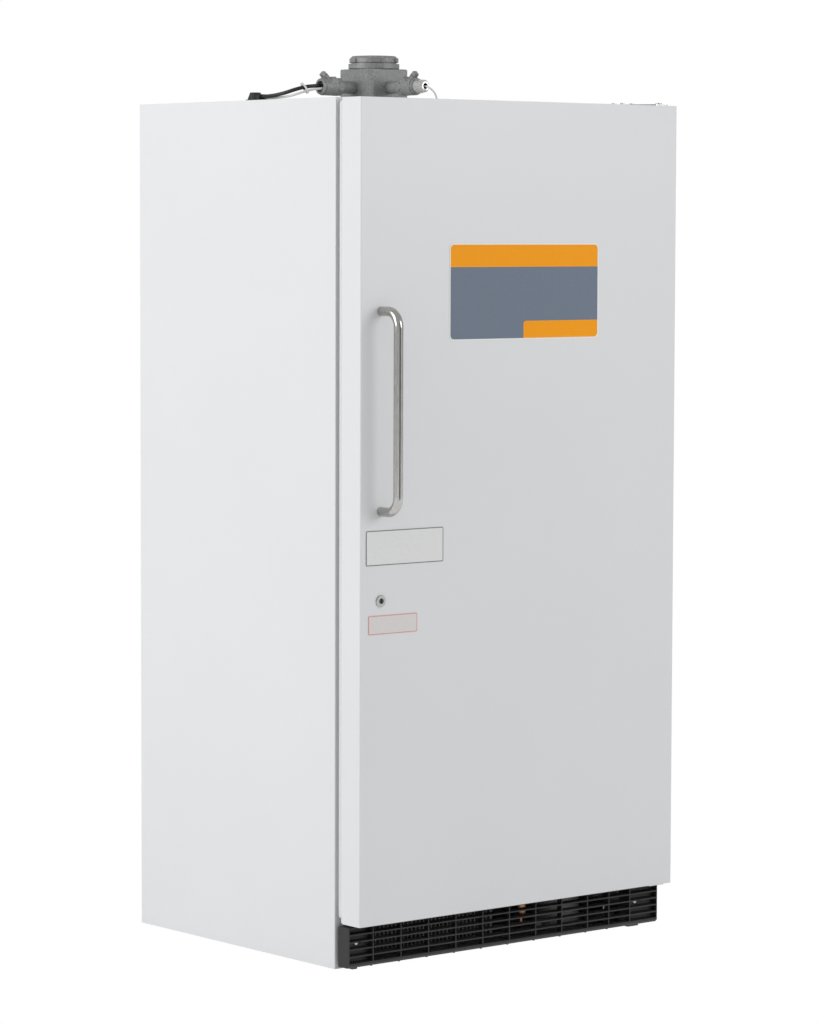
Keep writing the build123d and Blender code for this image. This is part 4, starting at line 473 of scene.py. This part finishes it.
def outside_of(tree, left, right, low, high, corner):
    """A mask that is 1 outside a rounded rectangle on the door's face and 0 inside it."""
    place = tree.nodes.new("ShaderNodeTexCoord")
    axes = tree.nodes.new("ShaderNodeSeparateXYZ")
    excess = tree.nodes.new("ShaderNodeCombineXYZ")
    tree.links.new(place.outputs["Object"], axes.inputs["Vector"])
    for axis, start, end in (("X", left, right), ("Z", low, high)):
        offset = tree.nodes.new("ShaderNodeMath")
        offset.operation = "SUBTRACT"
        offset.inputs[1].default_value = (start + end) / 2
        distance = tree.nodes.new("ShaderNodeMath")
        distance.operation = "ABSOLUTE"
        beyond = tree.nodes.new("ShaderNodeMath")
        beyond.operation = "SUBTRACT"
        beyond.inputs[1].default_value = (end - start) / 2 - corner
        positive = tree.nodes.new("ShaderNodeMath")
        positive.operation = "MAXIMUM"
        positive.inputs[1].default_value = 0.0
        tree.links.new(axes.outputs[axis], offset.inputs[0])
        tree.links.new(offset.outputs["Value"], distance.inputs[0])
        tree.links.new(distance.outputs["Value"], beyond.inputs[0])
        tree.links.new(beyond.outputs["Value"], positive.inputs[0])
        tree.links.new(positive.outputs["Value"], excess.inputs[axis])
    length = tree.nodes.new("ShaderNodeVectorMath")
    length.operation = "LENGTH"
    outside = tree.nodes.new("ShaderNodeMath")
    outside.operation = "GREATER_THAN"
    outside.inputs[1].default_value = corner
    tree.links.new(excess.outputs["Vector"], length.inputs[0])
    tree.links.new(length.outputs["Value"], outside.inputs[0])
    return outside.outputs["Value"]


def blocked(name, ground, blocks, border, inner):
    """A satin plate colour: rectangles over a ground colour, and a border outside the inner rectangle."""
    material = bpy.data.materials.new(name)
    material.use_nodes = True
    tree = material.node_tree
    surface = tree.nodes["Principled BSDF"]
    surface.inputs["Roughness"].default_value = 0.5
    surface.inputs["Specular IOR Level"].default_value = 0.2
    paint = tree.nodes.new("ShaderNodeRGB")
    paint.outputs[0].default_value = (*ground, 1)
    layer = paint.outputs[0]
    for colour, left, right, low, high, corner in blocks:
        over = tree.nodes.new("ShaderNodeMix")
        over.data_type = "RGBA"
        over.inputs[6].default_value = (*colour, 1)
        tree.links.new(outside_of(tree, left, right, low, high, corner), over.inputs["Factor"])
        tree.links.new(layer, over.inputs[7])
        layer = over.outputs[2]
    edge = tree.nodes.new("ShaderNodeMix")
    edge.data_type = "RGBA"
    edge.inputs[7].default_value = (*border, 1)
    tree.links.new(outside_of(tree, *inner), edge.inputs["Factor"])
    tree.links.new(layer, edge.inputs[6])
    place = tree.nodes.new("ShaderNodeTexCoord")
    grain = tree.nodes.new("ShaderNodeTexNoise")
    grain.inputs["Scale"].default_value = 180.0
    shade = tree.nodes.new("ShaderNodeMapRange")
    shade.inputs["To Min"].default_value = 0.95
    shade.inputs["To Max"].default_value = 1.05
    worn = tree.nodes.new("ShaderNodeHueSaturation")
    tree.links.new(place.outputs["Object"], grain.inputs["Vector"])
    tree.links.new(grain.outputs["Fac"], shade.inputs["Value"])
    tree.links.new(shade.outputs["Result"], worn.inputs["Value"])
    tree.links.new(edge.outputs[2], worn.inputs["Color"])
    tree.links.new(worn.outputs["Color"], surface.inputs["Base Color"])
    return material


def inset(left, right, low, high, corner, margin):
    """The rounded rectangle that lies a margin inside another one."""
    return left + margin, right - margin, low + margin, high - margin, corner - margin


# Sign plate, high on the door: a thin plate that stands just proud of the paint. It has plain colour
# fields, which run out under its pale edge.
plate_proud = 0.0008
plate_line = 0.0018
sign_left = -0.2045
sign_right = 0.212
sign_low = base + 1.3005
sign_high = base + 1.5023
sign_band = base + 1.453
sign_block_left = -0.0005
sign_block_top = base + 1.3394
sign_edge = 0.0028
sign_corner = 0.012
band_corner = 0.0002
block_corner = 0.007
past_edge = 0.02
orange = (1.0, 0.37, 0.0)
slate = (0.175, 0.215, 0.275)
pale_edge = (0.88, 0.88, 0.87)
sign_outline = (sign_left, sign_right, sign_low, sign_high, sign_corner)
sign_fields = [
    (orange, sign_left - past_edge, sign_right + past_edge, sign_band, sign_high + past_edge, band_corner),
    (orange, sign_block_left, sign_right + past_edge, sign_low - past_edge, sign_block_top, block_corner),
]
sign_colours = blocked("sign plate", slate, sign_fields, pale_edge, inset(*sign_outline, sign_edge))
sign_plate = plate_mesh("sign_plate", *sign_outline, plate_proud, sign_colours)
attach(sign_plate, "door")

# Notice plate, between the handle and the lock: a small pale plate with a thin dark border and nothing
# inside it.
notice_left = -0.425
notice_right = -0.219
notice_low = base + 0.8435
notice_high = base + 0.9153
notice_corner = 0.003
notice_white = (0.80, 0.80, 0.79)
notice_line = (0.20, 0.20, 0.20)
notice_outline = (notice_left, notice_right, notice_low, notice_high, notice_corner)
notice_colours = blocked("notice plate", notice_white, [], notice_line, inset(*notice_outline, plate_line))
notice_plate = plate_mesh("notice_plate", *notice_outline, plate_proud, notice_colours)
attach(notice_plate, "door")

# Tag plate, under the lock: a smaller plate of the same kind with a thin red border. Its ground is a
# warmer white.
tag_left = -0.4185
tag_right = -0.289
tag_low = base + 0.7015
tag_high = base + 0.7405
tag_corner = 0.003
tag_white = (0.76, 0.72, 0.71)
tag_line = (0.72, 0.34, 0.31)
tag_outline = (tag_left, tag_right, tag_low, tag_high, tag_corner)
tag_colours = blocked("tag plate", tag_white, [], tag_line, inset(*tag_outline, plate_line))
tag_plate = plate_mesh("tag_plate", *tag_outline, plate_proud, tag_colours)
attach(tag_plate, "door")

# Floor: a plain white plane. The camera and mirror-like parts see it pure white, and everything else gets
# the light that a matt floor throws back.
floor_side = 30
bpy.ops.mesh.primitive_plane_add(size=floor_side, location=(0, 0, 0))
floor = bpy.context.object
floor.name = "studio_floor"
floor_paint = bpy.data.materials.new("studio floor")
floor_paint.use_nodes = True
floor_nodes = floor_paint.node_tree.nodes
floor_links = floor_paint.node_tree.links
floor_nodes.clear()
floor_out = floor_nodes.new("ShaderNodeOutputMaterial")
floor_shade = floor_nodes.new("ShaderNodeBsdfDiffuse")
floor_shade.inputs["Color"].default_value = (0.8, 0.8, 0.8, 1)
floor_white = floor_nodes.new("ShaderNodeEmission")
floor_white.inputs["Strength"].default_value = 1.0
floor_path = floor_nodes.new("ShaderNodeLightPath")
floor_seen = floor_nodes.new("ShaderNodeMath")
floor_seen.operation = "MAXIMUM"
floor_mix = floor_nodes.new("ShaderNodeMixShader")
floor_links.new(floor_path.outputs["Is Camera Ray"], floor_seen.inputs[0])
floor_links.new(floor_path.outputs["Is Glossy Ray"], floor_seen.inputs[1])
floor_links.new(floor_seen.outputs["Value"], floor_mix.inputs["Fac"])
floor_links.new(floor_shade.outputs["BSDF"], floor_mix.inputs[1])
floor_links.new(floor_white.outputs["Emission"], floor_mix.inputs[2])
floor_links.new(floor_mix.outputs["Shader"], floor_out.inputs["Surface"])
floor.data.materials.append(floor_paint)

# Dark screen in front of the door. Only mirror-like parts see it, as a dark streak along the handle,
# because it is hidden from the camera, from matt surfaces and from shadows.
screen_place = (-0.25, -4.2, 1.2)
bpy.ops.mesh.primitive_plane_add(size=1, location=screen_place, rotation=(math.radians(90), 0, 0))
screen = bpy.context.object
screen.name = "dark_screen"
screen.scale = (1.7, 3.4, 1)
screen.visible_camera = False
screen.visible_diffuse = False
screen.visible_shadow = False
screen_cloth = bpy.data.materials.new("dark screen")
screen_cloth.use_nodes = True
screen_surface = screen_cloth.node_tree.nodes["Principled BSDF"]
screen_surface.inputs["Base Color"].default_value = (0.01, 0.01, 0.01, 1)
screen_surface.inputs["Roughness"].default_value = 1.0
screen.data.materials.append(screen_cloth)
screen.select_set(False)

# World: a pale grey sky lights the scene evenly from all sides. Where the camera sees it directly it is
# pure white.
world = bpy.data.worlds.new("studio")
bpy.context.scene.world = world
world.use_nodes = True
world_tree = world.node_tree
sky = world_tree.nodes["Background"]
sky.inputs["Color"].default_value = (0.72, 0.73, 0.74, 1)
sky.inputs["Strength"].default_value = 0.72
backdrop = world_tree.nodes.new("ShaderNodeBackground")
backdrop.inputs["Color"].default_value = (1, 1, 1, 1)
backdrop.inputs["Strength"].default_value = 1.0
seen_directly = world_tree.nodes.new("ShaderNodeLightPath")
seen_mix = world_tree.nodes.new("ShaderNodeMixShader")
world_tree.links.new(seen_directly.outputs["Is Camera Ray"], seen_mix.inputs["Fac"])
world_tree.links.new(sky.outputs["Background"], seen_mix.inputs[1])
world_tree.links.new(backdrop.outputs["Background"], seen_mix.inputs[2])
world_tree.links.new(seen_mix.outputs["Shader"], world_tree.nodes["World Output"].inputs["Surface"])

# Lamps: a key lamp high on the left, which makes the cabinet's side the brightest face, and a fill lamp
# high on the right for the door. Each row gives a lamp's place, aim, width, height and power.
lamps = {
    "key_lamp": (Vector((-5.2, 0.9, 3.2)), Vector((-0.4, 0.2, 1.1)), 3.0, 3.5, 150.0),
    "fill_lamp": (Vector((3.0, -5.6, 3.0)), Vector((0.1, 0, 1.0)), 3.5, 3.0, 112.0),
}
for name, (place, aim, width, height, power) in lamps.items():
    bpy.ops.object.light_add(type="AREA", location=place)
    lamp = bpy.context.object
    lamp.name = name
    lamp.data.shape = "RECTANGLE"
    lamp.data.size = width
    lamp.data.size_y = height
    lamp.data.energy = power
    lamp.rotation_euler = (place - aim).to_track_quat("Z", "Y").to_euler()

# Colours go to the picture as they are.
bpy.context.scene.view_settings.view_transform = "Standard"
